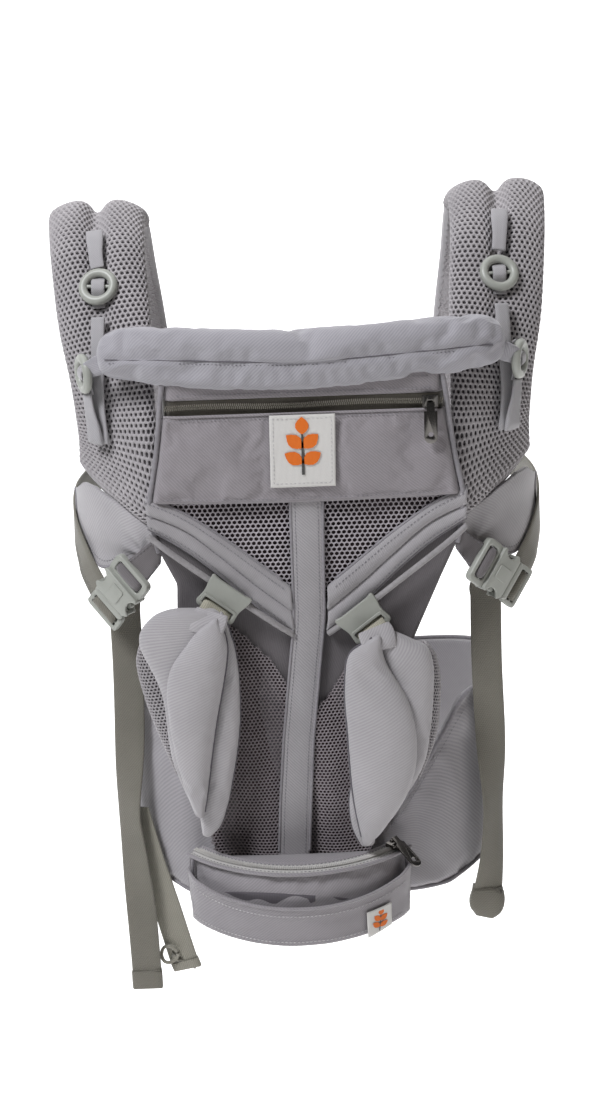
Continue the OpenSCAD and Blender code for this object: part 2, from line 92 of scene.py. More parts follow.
def new_material(name):
    """An empty material with a Principled shader wired to its output."""
    made = bpy.data.materials.new(name)
    made.use_nodes = True
    tree = made.node_tree
    tree.nodes.clear()
    shader = add_node(tree, "ShaderNodeBsdfPrincipled")
    add_node(tree, "ShaderNodeOutputMaterial", {"Surface": shader.outputs[0]})
    return made, tree, shader


def sweep_paper():
    """Matt white background paper."""
    made, tree, shader = new_material("matt_white_paper")
    shader.inputs["Base Color"].default_value = linear("#f4f4f4")
    shader.inputs["Roughness"].default_value = 0.9
    shader.inputs["Emission Color"].default_value = linear("#ffffff")
    shader.inputs["Emission Strength"].default_value = 0.75
    return made


FLOOR_Z = -0.75
WALL_Y = 2.6
SWEEP_RADIUS = 0.8
profile = [(-4.0, FLOOR_Z)]
for step in range(13):
    turn = math.radians(90 * step / 12)
    profile.append((
        WALL_Y - SWEEP_RADIUS + SWEEP_RADIUS * math.sin(turn),
        FLOOR_Z + SWEEP_RADIUS - SWEEP_RADIUS * math.cos(turn),
    ))
profile.append((WALL_Y, 4.0))
sweep_mesh = bpy.data.meshes.new("paper_sweep")
sweep_mesh.from_pydata(
    [(x, y, z) for y, z in profile for x in (-4, 4)],
    [],
    [(2 * i, 2 * i + 1, 2 * i + 3, 2 * i + 2) for i in range(len(profile) - 1)],
)
sweep_mesh.shade_smooth()
sweep_mesh.materials.append(sweep_paper())
sweep = bpy.data.objects.new("paper_sweep", sweep_mesh)
scene.collection.objects.link(sweep)


def soft_light(name, at, size, watts, tint):
    """A square soft box aimed at the carrier."""
    data = bpy.data.lights.new(name, "AREA")
    data.size = size
    data.energy = watts
    data.color = linear(tint)[:3]
    lamp = bpy.data.objects.new(name, data)
    scene.collection.objects.link(lamp)
    lamp.location = at
    lamp.rotation_euler = (AIM - Vector(at)).to_track_quat("-Z", "Y").to_euler()


soft_light("window_left", (-1.2, -1.1, 2.2), 0.7, 62, "#fafbff")
soft_light("room_right", (1.9, -1.3, 0.9), 1.2, 4, "#fff1e2")
soft_light("paper_light", (0, 0.9, 2.6), 2.5, 30, "#ffffff")
world = bpy.data.worlds.new("room")
world.use_nodes = True
world.node_tree.nodes["Background"].inputs["Color"].default_value = linear("#f3f4f8")
world.node_tree.nodes["Background"].inputs["Strength"].default_value = 0.1
scene.world = world
scene.view_settings.view_transform = "Standard"

# ---------------------------------------------------------------- Lining and body panel
# The back of the seat is one long piece of dark lining cloth with plain dark polyester over
# it. Everything on the front is sewn on to it, and it shows between the bands and the nets.

PANEL_Y = -125.0
LOWER_SHIFT = -20.0


def spline(stations, steps):
    """Catmull-Rom rows through the stations, steps rows to each stretch."""
    p = np.array(stations, float)
    rows = []
    for i in range(len(p) - 1):
        a, b, c, d = p[max(i - 1, 0)], p[i], p[i + 1], p[min(i + 2, len(p) - 1)]
        for t in np.arange(steps) / steps:
            rows.append(0.5 * (2 * b + (c - a) * t + (2 * a - 5 * b + 4 * c - d) * t**2
                               + (3 * b - a - 3 * c + d) * t**3))
    return np.array(rows + [p[-1]])


def resample(p, count):
    """The same line with count points evenly along it."""
    p = np.array(p, float)
    run = np.r_[0, np.cumsum(np.linalg.norm(np.diff(p[:, :3], axis=0), axis=1))]
    at = np.linspace(0, run[-1], count)
    return np.stack([np.interp(at, run, p[:, k]) for k in range(p.shape[1])], 1)


def between_edges(edges, rows, cols):
    """Grids of x and z between a left and a right edge. Each row of edges is z, left x, right x."""
    e = np.array(sorted(edges), float)
    z = np.linspace(edges[0][0], edges[-1][0], rows)
    v = np.linspace(0, 1, cols)
    left, right = np.interp(z, e[:, 0], e[:, 1]), np.interp(z, e[:, 0], e[:, 2])
    return left[:, None] * (1 - v) + right[:, None] * v, np.repeat(z[:, None], cols, 1)


def roughly(x, z, scale, seed=0.0):
    """Smooth seeded noise over millimetres, from -1 to 1."""
    shape = np.shape(x)
    flat = [noise.noise(Vector((a / scale, b / scale, seed))) for a, b in zip(np.ravel(x), np.ravel(z))]
    return np.reshape(flat, shape)


def normals_of(p, wrap=False):
    """Unit normals of a grid of points."""
    du = np.gradient(p, axis=0)
    if wrap:
        dv = (np.roll(p, -1, 1) - np.roll(p, 1, 1)) / 2
    else:
        dv = np.gradient(p, axis=1)
    n = np.cross(du, dv)
    return n / np.maximum(np.linalg.norm(n, axis=2, keepdims=True), 1e-9)


def show(name, verts, faces, material, body, uv=None):
    """A smooth-shaded piece from points in millimetres, riding on a body."""
    mesh = bpy.data.meshes.new(name)
    mesh.from_pydata((np.asarray(verts) * MM).tolist(), [], faces)
    if uv is not None:
        layer = mesh.uv_layers.new(name="cloth")
        loops = np.zeros(len(mesh.loops), int)
        mesh.loops.foreach_get("vertex_index", loops)
        layer.data.foreach_set("uv", (np.asarray(uv)[loops] * MM).ravel())
    mesh.materials.append(material)
    work = bmesh.new()
    work.from_mesh(mesh)
    bmesh.ops.recalc_face_normals(work, faces=work.faces)
    work.to_mesh(mesh)
    work.free()
    mesh.shade_smooth()
    piece = bpy.data.objects.new(name, mesh)
    scene.collection.objects.link(piece)
    if body:
        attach(piece, body)
    return piece


def grid_uv(p):
    """Millimetres along and across a grid, as the cloth was cut."""
    u = np.r_[0, np.cumsum(np.linalg.norm(np.diff(p, axis=0), axis=2).mean(1))]
    v = np.r_[0, np.cumsum(np.linalg.norm(np.diff(p, axis=1), axis=2).mean(0))]
    uu, vv = np.meshgrid(u, v, indexing="ij")
    return np.stack([vv.ravel(), uu.ravel()], 1)


def cloth_piece(name, p, material, body, thick, back=(0, 1, 0)):
    """A cut piece of cloth: a grid of points with its thickness on the back side."""
    n = normals_of(p)
    n[np.sum(n * np.array(back), axis=2) < 0] *= -1
    rows, cols = p.shape[:2]
    verts = np.concatenate([p.reshape(-1, 3), (p + n * thick).reshape(-1, 3)])
    uv = np.tile(grid_uv(p), (2, 1))
    k = np.arange(rows * cols).reshape(rows, cols)
    q = np.stack([k[:-1, :-1], k[:-1, 1:], k[1:, 1:], k[1:, :-1]], -1).reshape(-1, 4)
    far = q[:, ::-1] + rows * cols
    rim = np.r_[k[0, :], k[1:, -1], k[-1, -2::-1], k[-2:0:-1, 0]]
    nxt = np.roll(rim, -1)
    edge = np.stack([nxt, rim, rim + rows * cols, nxt + rows * cols], 1)
    return show(name, verts, np.concatenate([q, far, edge]).tolist(), material, body, uv)


def shell_piece(name, p, material, body):
    """A closed padded form: rings of points along its length, closed at both ends."""
    rows, cols = p.shape[:2]
    verts = np.concatenate([p.reshape(-1, 3), p[:1].mean(1), p[-1:].mean(1)])
    k = np.arange(rows * cols).reshape(rows, cols)
    kn = np.roll(k, -1, 1)
    q = np.stack([k[:-1], kn[:-1], kn[1:], k[1:]], -1).reshape(-1, 4).tolist()
    first, last = rows * cols, rows * cols + 1
    q += [[first, b, a] for a, b in zip(k[0], kn[0])]
    q += [[last, a, b] for a, b in zip(k[-1], kn[-1])]
    uv = np.concatenate([grid_uv(p), [[0, 0]], [[0, 0]]])
    return show(name, verts, q, material, body, uv)


def cloth_finish(name, code, pitch, relief, angle=0.0, sheen=0.25, mottling=0.06, rough=0.85):
    """Dyed woven cloth: diagonal twill lines of a given pitch, a soft nap and faint mottling."""
    made, tree, shader = new_material(name)
    uv = add_node(tree, "ShaderNodeUVMap", uv_map="cloth")
    turned = add_node(tree, "ShaderNodeMapping", {"Vector": uv.outputs[0], "Rotation": (0, 0, angle)})
    # A wave's bands repeat every 0.314 units at scale 1, and the cloth's own unit is a metre.
    scale = 0.314 / (pitch * MM)
    lines = add_node(tree, "ShaderNodeTexWave", {"Vector": turned.outputs[0], "Scale": scale,
                     "Distortion": 0.6, "Detail": 1.0, "Detail Scale": 0.6})
    place = add_node(tree, "ShaderNodeTexCoord")
    clouds = add_node(tree, "ShaderNodeTexNoise", {"Vector": place.outputs["Object"], "Scale": 34.0,
                      "Detail": 5.0, "Roughness": 0.6})
    fibre = add_node(tree, "ShaderNodeTexNoise", {"Vector": place.outputs["Object"], "Scale": 900.0,
                     "Detail": 2.0})
    base = np.array(linear(code))
    dark, light = base * (1 - 2.2 * mottling), base * (1 + 1.6 * mottling)
    tone = add_node(tree, "ShaderNodeMix", {"Factor": clouds.outputs[0]}, data_type="RGBA")
    tone.inputs[6].default_value = (*dark[:3], 1)
    tone.inputs[7].default_value = (*light[:3], 1)
    thread = add_node(tree, "ShaderNodeMix", {"Factor": lines.outputs["Fac"]}, data_type="RGBA",
                      blend_type="MULTIPLY")
    tree.links.new(tone.outputs[2], thread.inputs[6])
    thread.inputs[7].default_value = (0.82, 0.82, 0.83, 1)
    tree.links.new(thread.outputs[2], shader.inputs["Base Color"])
    height = add_node(tree, "ShaderNodeMath", {0: lines.outputs["Fac"], 1: 0.7}, operation="MULTIPLY")
    height = add_node(tree, "ShaderNodeMath", {0: height.outputs[0], 1: fibre.outputs[0]}, operation="ADD")
    bump = add_node(tree, "ShaderNodeBump", {"Height": height.outputs[0], "Strength": relief,
                    "Distance": 0.0003})
    tree.links.new(bump.outputs[0], shader.inputs["Normal"])
    shader.inputs["Roughness"].default_value = rough
    shader.inputs["Sheen Weight"].default_value = sheen
    shader.inputs["Sheen Roughness"].default_value = 0.5
    shader.inputs["Specular IOR Level"].default_value = 0.25
    return made


lining_cloth = cloth_finish("plain_weave_lining", "#4f4a49", 1.4, 0.3)
dark_cloth = cloth_finish("plain_polyester_dark", "#676365", 1.4, 0.35)

panel_edges = [(358, -107, 107), (274, -120, 120), (236, -118, 118), (205, -104, 104),
               (120, -88 + LOWER_SHIFT, 88 + LOWER_SHIFT), (0, -70 + LOWER_SHIFT, 70 + LOWER_SHIFT),
               (-56, -62 + LOWER_SHIFT, 62 + LOWER_SHIFT)]
x, z = between_edges(panel_edges, 110, 60)
y = PANEL_Y + 0.6 + 0.8 * roughly(x, z, 40, 3.1)
panel = cloth_piece("body_panel_cloth", np.stack([x, y, z], 2), dark_cloth, "carrier", 1.2)
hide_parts("body_panel")
lining = cloth_piece("panel_lining", np.stack([x, y + 3.4, z], 2), lining_cloth, "carrier", 1.0)
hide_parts("inner_liner")

# ---------------------------------------------------------------- Mesh windows
# Warp-knitted polyester net with hexagonal holes: a coarse one in the two windows beside the
# centre strip, and a finer one down the lower seat, over a dark maroon backing.


def nodes_input(tree, name, kind, value=None):
    """A named input of a geometry tree."""
    made = tree.interface.new_socket(name=name, in_out="INPUT", socket_type="NodeSocket" + kind)
    if value is not None:
        made.default_value = value
    return made


def run_nodes(piece, tree, **values):
    """Runs a geometry tree on a piece and keeps the result as its plain mesh."""
    modifier = piece.modifiers.new("nodes", "NODES")
    modifier.node_group = tree
    for item in tree.interface.items_tree:
        if item.item_type == "SOCKET" and item.in_out == "INPUT" and item.name in values:
            modifier[item.identifier] = values[item.name]
    done = bpy.data.meshes.new_from_object(piece.evaluated_get(bpy.context.evaluated_depsgraph_get()))
    piece.modifiers.remove(modifier)
    old = piece.data
    piece.data = done
    bpy.data.meshes.remove(old)
    return piece


def net_tree(name, see_through):
    """Turns a mesh of triangles into net: a hexagonal hole round each point, with raised threads."""
    tree = bpy.data.node_groups.new(name, "GeometryNodeTree")
    nodes_input(tree, "Mesh", "Geometry")
    nodes_input(tree, "Hole", "Float", 0.7)
    nodes_input(tree, "Rise", "Float", 0.0004)
    nodes_input(tree, "Depth", "Float", 0.001)
    nodes_input(tree, "Thread", "Material")
    nodes_input(tree, "Shade", "Material")
    tree.interface.new_socket(name="Mesh", in_out="OUTPUT", socket_type="NodeSocketGeometry")
    given = add_node(tree, "NodeGroupInput").outputs
    cells = add_node(tree, "GeometryNodeDualMesh", {0: given["Mesh"], 1: True})
    rims = add_node(tree, "GeometryNodeExtrudeMesh", {"Mesh": cells.outputs[0], "Offset Scale": 0.0,
                    "Individual": True}, mode="FACES")
    rims_small = add_node(tree, "GeometryNodeScaleElements", {"Geometry": rims.outputs["Mesh"],
                          "Selection": rims.outputs["Top"], "Scale": given["Hole"]}, domain="FACE")
    normal = add_node(tree, "GeometryNodeInputNormal")
    fall = add_node(tree, "ShaderNodeMath", {0: given["Rise"], 1: -1.0}, operation="MULTIPLY")
    down = add_node(tree, "ShaderNodeVectorMath", {0: normal.outputs[0], "Scale": fall.outputs[0]},
                    operation="SCALE")
    lowered = add_node(tree, "GeometryNodeSetPosition", {"Geometry": rims_small.outputs[0],
                       "Selection": rims.outputs["Top"], "Offset": down.outputs[0]})
    sink = add_node(tree, "ShaderNodeMath", {0: given["Depth"], 1: -1.0}, operation="MULTIPLY")
    pits = add_node(tree, "GeometryNodeExtrudeMesh", {"Mesh": lowered.outputs[0],
                    "Selection": rims.outputs["Top"], "Offset Scale": sink.outputs[0],
                    "Individual": True}, mode="FACES")
    threads = add_node(tree, "GeometryNodeSetMaterial", {"Geometry": pits.outputs["Mesh"],
                       "Material": given["Thread"]})
    if see_through:
        last = add_node(tree, "GeometryNodeDeleteGeometry", {"Geometry": threads.outputs[0],
                        "Selection": pits.outputs["Top"]}, domain="FACE")
    else:
        # The pit bottoms of closed net take the Shade finish: painted shade in the holes.
        last = add_node(tree, "GeometryNodeSetMaterial", {"Geometry": threads.outputs[0],
                        "Selection": pits.outputs["Top"], "Material": given["Shade"]})
    smooth = add_node(tree, "GeometryNodeSetShadeSmooth", {"Geometry": last.outputs[0]})
    real = add_node(tree, "GeometryNodeRealizeInstances", {"Geometry": smooth.outputs[0]})
    add_node(tree, "NodeGroupOutput", {0: real.outputs[0]})
    return tree


open_net = net_tree("open_net", True)
closed_net = net_tree("closed_net", False)


def thread_finish(name, code, rough=0.6, spread=0.12):
    """Textured polyester yarn: slightly glossy, a little lighter and darker from thread to thread."""
    made, tree, shader = new_material(name)
    place = add_node(tree, "ShaderNodeTexCoord")
    yarn = add_node(tree, "ShaderNodeTexNoise", {"Vector": place.outputs["Object"], "Scale": 420.0,
                    "Detail": 3.0})
    patch = add_node(tree, "ShaderNodeTexNoise", {"Vector": place.outputs["Object"], "Scale": 26.0,
                     "Detail": 3.0})
    mixed = add_node(tree, "ShaderNodeMath", {0: yarn.outputs[0], 1: patch.outputs[0]}, operation="MULTIPLY")
    ramp = add_node(tree, "ShaderNodeValToRGB", {0: mixed.outputs[0]})
    base = np.array(linear(code))[:3]
    ramp.color_ramp.elements[0].position = 0.1
    ramp.color_ramp.elements[1].position = 0.4
    ramp.color_ramp.elements[0].color = (*(base * (1 - spread * 1.8)), 1)
    ramp.color_ramp.elements[1].color = (*(base * (1 + spread)), 1)
    tree.links.new(ramp.outputs[0], shader.inputs["Base Color"])
    bump = add_node(tree, "ShaderNodeBump", {"Height": yarn.outputs[0], "Strength": 0.5, "Distance": 0.0003})
    tree.links.new(bump.outputs[0], shader.inputs["Normal"])
    shader.inputs["Roughness"].default_value = rough
    shader.inputs["Sheen Weight"].default_value = 0.2
    shader.inputs["Specular IOR Level"].default_value = 0.35
    return made


net_yarn = thread_finish("polyester_net_yarn", "#a7a1a6")
lower_yarn = thread_finish("polyester_fine_net_yarn", "#8d8588")
backing_cloth = cloth_finish("maroon_backing_cloth", "#22181a", 1.2, 0.2, sheen=0.05)
lower_backing_cloth = cloth_finish("maroon_lower_backing", "#3c2f31", 1.2, 0.2, sheen=0.05)


def inside(x, z, outline):
    """Whether a point lies inside a closed outline."""
    hit = False
    for (xa, za), (xb, zb) in zip(outline, outline[1:] + outline[:1]):
        if (za > z) != (zb > z) and x < xa + (z - za) * (xb - xa) / (zb - za):
            hit = not hit
    return hit


def net_window(name, outline, pitch, depth_at, tree, thread, shade, hole, rise, depth):
    """A piece of net cut to an outline, its holes in a honeycomb of the given pitch."""
    xs, zs = [p[0] for p in outline], [p[1] for p in outline]
    verts, index = [], {}
    rows = int((max(zs) - min(zs)) / (pitch * 0.866)) + 2
    cols = int((max(xs) - min(xs)) / pitch) + 2
    for j in range(rows):
        for i in range(cols):
            px = min(xs) + (i + 0.5 * (j % 2)) * pitch
            pz = min(zs) + j * pitch * 0.866
            if inside(px, pz, outline):
                index[i, j] = len(verts)
                verts.append((px, depth_at(px, pz), pz))
    faces = []
    for i, j in index:
        a, b = (i, j + 1), (i + 1, j + 1)
        if j % 2 == 0:
            trios = [((i, j), (i + 1, j), a), ((i + 1, j), b, a)]
        else:
            trios = [((i, j), (i + 1, j), b), ((i, j), b, a)]
        faces += [[index[t] for t in trio] for trio in trios if all(t in index for t in trio)]
    piece = show(name, verts, faces, thread, None)
    for face in piece.data.polygons:
        if face.normal.y > 0:
            piece.data.flip_normals()
        break
    run_nodes(piece, tree, Hole=hole, Rise=rise * MM, Depth=depth * MM, Thread=thread, Shade=shade)
    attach(piece, "carrier")
    return piece


def window_depth(x, z):
    return PANEL_Y - 2.2 + 0.8 * noise.noise(Vector((x / 30, z / 30, 1.7)))


right_window = [(6, 280), (118, 280), (100, 262), (60, 232), (28, 205), (6, 184)]
left_window = [(-x, z) for x, z in right_window]
windows = [
    net_window(side + "_upper_net", outline, 4.1, window_depth, open_net, net_yarn, net_yarn, 0.74, 0.5, 0.8)
    for side, outline in (("right", right_window), ("left", left_window))
]
x, z = between_edges([(282, -118, 118), (262, -112, 112), (232, -70, 70), (186, -8, 8)], 30, 60)
y = PANEL_Y - 0.7 + 0.3 * roughly(x, z, 20, 5.0)
window_back = cloth_piece("upper_net_backing", np.stack([x, y, z], 2), backing_cloth, "carrier", 0.8)


def lower_depth(x, z):
    """The lower seat sags into soft upright folds, deeper towards the waist."""
    fold = math.sin((x + 0.18 * z) / 9.5) * min(1, max(0, (175 - z) / 120))
    return PANEL_Y - 3.0 - 1.6 * fold + 1.4 * noise.noise(Vector((x / 24, z / 40, 9.2)))


left_seat = [(-16, 112), (-30, 138), (-50, 160), (-72, 182), (-92, 175), (-98, 100), (-96, 20), (-84, -48),
             (-24, -48), (-18, 40)]
right_seat = [(-2, 92), (14, 112), (32, 140), (46, 150), (52, 100), (52, 20), (46, -30), (38, -48), (-12, -48),
              (-8, 40)]
for side, outline in (("left", left_seat), ("right", right_seat)):
    lower = net_window(side + "_lower_net", outline, 3.1, lower_depth, open_net, lower_yarn, lower_yarn,
                       0.7, 0.4, 0.6)
    windows.append(lower)
left_lower_rows = [(172, -78, -66), (155, -92, -50), (138, -95, -34),
                   (108, -97, -18), (40, -95, -20), (-46, -82, -26)]
x, z = between_edges(left_lower_rows, 80, 50)
y = np.vectorize(lower_depth)(x, z) + 2.4
lower_back = cloth_piece("lower_net_backing", np.stack([x, y, z], 2), lower_backing_cloth, "carrier", 0.8)
right_lower_rows = [(142, 38, 45), (126, 27, 48), (108, 14, 49), (90, 2, 50),
                    (40, -4, 50), (20, -6, 50), (-46, -9, 38)]
x, z = between_edges(right_lower_rows, 60, 30)
y = np.vectorize(lower_depth)(x, z) + 2.5
right_back = cloth_piece("right_lower_net_backing", np.stack([x, y, z], 2), lower_backing_cloth, "carrier", 0.8)
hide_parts("mesh_panels")

# ---------------------------------------------------------------- Centre strip
# One straight strip of twill runs down the middle from the chest pocket to the waist. Its
# edges are turned under over a cord and topstitched.

twill = cloth_finish("brushed_twill_grey", "#a09d9f", 1.9, 0.55, angle=0.8)
edge_cord = thread_finish("edge_binding", "#858286", rough=0.8)
sewing_thread = thread_finish("sewing_thread", "#77757a", rough=0.5)
light_thread = thread_finish("light_sewing_thread", "#b9b7b8", rough=0.5)


def tube_mesh(path, radius, sides=8):
    """Rings round a path of points in millimetres, with radius a number or one for each point."""
    p = np.array(path, float)
    along = np.gradient(p, axis=0)
    along /= np.linalg.norm(along, axis=1, keepdims=True)
    r = np.broadcast_to(np.asarray(radius, float), len(p))
    side = np.cross(along[0], (0.3, 1, 0.2))
    rings = []
    for a, centre, rad in zip(along, p, r):
        side = side - a * side.dot(a)
        side /= np.linalg.norm(side)
        other = np.cross(a, side)
        turn = np.linspace(0, 2 * np.pi, sides, endpoint=False)[:, None]
        rings.append(centre + rad * (np.cos(turn) * side + np.sin(turn) * other))
    return np.array(rings)


def cords(name, paths, radius, material, body, steps=5, sides=8):
    """Round cords or piped edges along one or more lines, as one piece."""
    verts, faces, uvs = [], [], []
    for path in paths:
        p = tube_mesh(spline(path, steps) if steps > 1 else path, radius, sides)
        rows, cols = p.shape[:2]
        k = np.arange(rows * cols).reshape(rows, cols) + len(verts)
        kn = np.roll(k, -1, 1)
        faces += np.stack([k[:-1], kn[:-1], kn[1:], k[1:]], -1).reshape(-1, 4).tolist()
        faces += [k[0].tolist()[::-1], k[-1].tolist()]
        verts += p.reshape(-1, 3).tolist()
        uvs += grid_uv(p).tolist()
    return show(name, verts, faces, material, body, np.array(uvs))


def row_tree():
    """Sets small rounded pieces in a row along every line: stitches, zip teeth or ribs."""
    tree = bpy.data.node_groups.new("row_of_pieces", "GeometryNodeTree")
    nodes_input(tree, "Lines", "Geometry")
    nodes_input(tree, "Spacing", "Float", 0.003)
    nodes_input(tree, "Size", "Vector")
    nodes_input(tree, "Finish", "Material")
    tree.interface.new_socket(name="Pieces", in_out="OUTPUT", socket_type="NodeSocketGeometry")
    given = add_node(tree, "NodeGroupInput").outputs
    line = add_node(tree, "GeometryNodeMeshToCurve", {0: given["Lines"]})
    even = add_node(tree, "GeometryNodeResampleCurve", {"Curve": line.outputs[0], "Length": given["Spacing"]},
                    mode="LENGTH")
    bead = add_node(tree, "GeometryNodeMeshUVSphere", {"Segments": 6, "Rings": 4, "Radius": 0.5})
    tangent = add_node(tree, "GeometryNodeInputTangent")
    turn = add_node(tree, "FunctionNodeAlignRotationToVector", {"Vector": tangent.outputs[0]}, axis="X")
    set_out = add_node(tree, "GeometryNodeInstanceOnPoints", {"Points": even.outputs[0],
                       "Instance": bead.outputs[0], "Rotation": turn.outputs[0], "Scale": given["Size"]})
    real = add_node(tree, "GeometryNodeRealizeInstances", {0: set_out.outputs[0]})
    smooth = add_node(tree, "GeometryNodeSetShadeSmooth", {0: real.outputs[0]})
    finish = add_node(tree, "GeometryNodeSetMaterial", {0: smooth.outputs[0], "Material": given["Finish"]})
    add_node(tree, "NodeGroupOutput", {0: finish.outputs[0]})
    return tree


row_nodes = row_tree()


def row_of(name, lines, spacing, size, material, body):
    """Small rounded pieces of a size (along, then the two ways across), in mm, along lines."""
    verts, edges = [], []
    for line in lines:
        start = len(verts)
        verts += [tuple(np.array(p) * MM) for p in line]
        edges += [(start + i, start + i + 1) for i in range(len(line) - 1)]
    mesh = bpy.data.meshes.new(name)
    mesh.from_pydata(verts, edges, [])
    piece = bpy.data.objects.new(name, mesh)
    scene.collection.objects.link(piece)
    run_nodes(piece, row_nodes, Spacing=spacing * MM, Size=[s * MM for s in size], Finish=material)
    if body:
        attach(piece, body)
    return piece


def stitches(name, lines, body, thread=sewing_thread, length=2.3, gap=1.0, steps=6):
    """Topstitching along smooth lines: thread lying on the cloth, one short length a stitch."""
    smooth = [spline(line, steps) for line in lines]
    piece = row_of(name, smooth, length + gap, (length, 0.6, 0.6), thread, body)
    return piece


strip_edges = [(276, -12.5, 12.5), (174, -13, 11), (70, -25, -1), (10, -30, -5), (-44, -33, -8)]
x, z = between_edges(strip_edges, 120, 15)
across = np.linspace(-1, 1, 15)[None, :]
y = PANEL_Y - 5.0 - 1.2 * (1 - across**2) + 0.7 * roughly(x, z, 26, 2.2)
y = y - 2.2 * np.clip((60 - z) / 100, 0, 1)
strip_points = np.stack([x, y, z], 2)
strip = cloth_piece("centre_strip_cloth", strip_points, twill, "carrier", 2.2)
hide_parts("centre_strip")
edge_lines = [strip_points[::6, k] + (0, 0.3, 0) for k in (0, -1)]
strip_cords = cords("centre_strip_piping", edge_lines, 1.25, edge_cord, "carrier")
stitches("centre_strip_stitching", [strip_points[::6, k] + (0, -0.2, 0) for k in (2, -3)], "carrier")

# ---------------------------------------------------------------- Seat bands and rails
# Two padded bands slope from the sides of the chest down to the strip. Each is sewn in two
# lanes, and a thin covered rod runs under its lower edge, along which the seat slider moves.

band_upper = [(-124, 279), (-98, 266), (-68, 245), (-42, 224), (-14, 201)]
band_middle = [(-124, 264), (-95, 250), (-69, 228), (-43, 204), (-14, 180)]
band_lower = [(-124, 253), (-96, 235), (-70, 213), (-43, 187), (-13, 162)]
RAIL_OUT = (122.0, 246.0)
RAIL_IN = (16.0, 163.0)
RAIL_Y = PANEL_Y - 10.0
SIDES = {"left": -1, "right": 1}


def band_grid(side):
    """The band's face: two soft lanes between three seams."""
    lines = [resample(spline([(x, 0, z) for x, z in line], 8), 60) for line in (band_upper, band_middle, band_lower)]
    rows = []
    for t in np.linspace(0, 2, 25):
        k = min(int(t), 1)
        f = t - k
        row = lines[k] * (1 - f) + lines[k + 1] * f
        lane = 4.2 * np.sin(np.pi * f) ** 0.55 if 0 < f < 1 else 0.0
        ripple = 0.5 * roughly(row[:, 0], row[:, 2], 15, 4.0 + side)
        row[:, 1] = PANEL_Y - 3.4 - lane * (1 if k == 0 else 0.8) + ripple
        rows.append(row)
    p = np.stack(rows, 1)
    p[:, :, 0] *= -side
    return p


for side, sign in SIDES.items():
    p = band_grid(sign)
    band = cloth_piece(side + "_seat_band", p, twill, "carrier", 2.0)
    lines = [p[::5, k] + (0, -0.5, 0) for k in (3, 12, 21)]
    stitches(side + "_band_stitching", lines, "carrier")
    edge = cords(side + "_band_piping", [p[::5, 0], p[::5, -1]], 1.2, edge_cord, "carrier")
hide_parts("seat_bands")

rod_cover = thread_finish("covered_rod", "#8f8c8d", rough=0.7)
rods = []
for sign in SIDES.values():
    start, end = np.array([*RAIL_IN]), np.array([*RAIL_OUT])
    line = [start + (end - start) * t for t in np.linspace(-0.02, 1.02, 9)]
    dip = [4.5, 1.0, 0, 0, 0, 0, 0, 1.0, 4.5]
    rods.append([(sign * q[0], RAIL_Y + d, q[1]) for q, d in zip(line, dip)])
rails = cords("covered_slide_rods", rods, 2.4, rod_cover, "carrier", sides=12)
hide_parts("slide_rails")

# ---------------------------------------------------------------- Chest pocket, hood and zip
# The top of the panel is a flat pocket of twill with piped sides. It holds a folded sleeping
# hood and closes with a coil zip under the head support.

pocket_twill = cloth_finish("smooth_twill_pocket", "#918c8f", 1.9, 0.5, angle=0.8, sheen=0.2)
hood_cloth = cloth_finish("thin_hood_cloth", "#8b888c", 1.0, 0.3)
ZIP_Z = 350.0
POCKET_Y = PANEL_Y - 9.0


def fill_out(piece, held, pressure, slack, cap, frames=20, stiffness=14.0):
    """Cloth swells or creases a piece between the points that are held, moving none past cap mm."""
    mesh = piece.data
    start = np.zeros(len(mesh.vertices) * 3)
    mesh.vertices.foreach_get("co", start)
    group = piece.vertex_groups.new(name="held")
    group.add([int(i) for i in held], 1.0, "REPLACE")
    swell = piece.modifiers.new("swell", "CLOTH")
    swell.settings.vertex_group_mass = "held"
    swell.settings.use_pressure = pressure != 0
    swell.settings.uniform_pressure_force = pressure
    swell.settings.shrink_min = -slack
    swell.settings.quality = 5
    swell.settings.tension_stiffness = stiffness
    swell.settings.compression_stiffness = stiffness
    swell.settings.bending_stiffness = 0.6
    swell.settings.effector_weights.gravity = 0
    swell.collision_settings.use_collision = False
    for number in range(1, frames + 1):
        scene.frame_set(number)
    done = piece.evaluated_get(bpy.context.evaluated_depsgraph_get()).data
    end = np.zeros(len(start))
    done.vertices.foreach_get("co", end)
    piece.modifiers.remove(swell)
    piece.vertex_groups.clear()
    scene.frame_set(1)
    moved = (end - start).reshape(-1, 3)
    far = np.linalg.norm(moved, axis=1, keepdims=True)
    limit = cap * MM
    moved *= np.where(far > 1e-9, limit * np.tanh(far / limit) / np.maximum(far, 1e-9), 0)
    mesh.vertices.foreach_set("co", (start.reshape(-1, 3) + moved).ravel())
    mesh.update()


def round_off(piece, levels=1):
    """One Catmull-Clark step."""
    smooth = piece.modifiers.new("round_off", "SUBSURF")
    smooth.levels = smooth.render_levels = levels
    return piece


x, z = between_edges([(343, -108.5, 108), (310, -114, 114), (272, -121, 120)], 34, 100)
v = np.linspace(-1, 1, 100)[None, :]
u = np.linspace(0, 1, 34)[:, None]
z = z - 2.5 * np.cos(v * np.pi / 2) * u
wall = np.clip((1 - np.abs(v)) / 0.035, 0, 1) ** 0.5
floor_fall = np.clip((1 - u) / 0.06, 0, 1) ** 0.5
bulge = 2.5 * np.sin(np.pi * u) * np.cos(v * np.pi / 2)
crease = 1.1 * roughly(x, z * 1.6, 34, 6.0) + 0.5 * roughly(x * 0.6 + z, z - x * 0.4, 13, 2.0)
y = PANEL_Y - 1.5 - (8.0 * floor_fall + bulge + crease * np.sin(np.pi * u)) * wall
pocket_points = np.stack([x, y, z], 2)
pocket = cloth_piece("chest_pocket_face", pocket_points, pocket_twill, "carrier", 1.2)
grid = np.arange(34 * 100).reshape(34, 100)
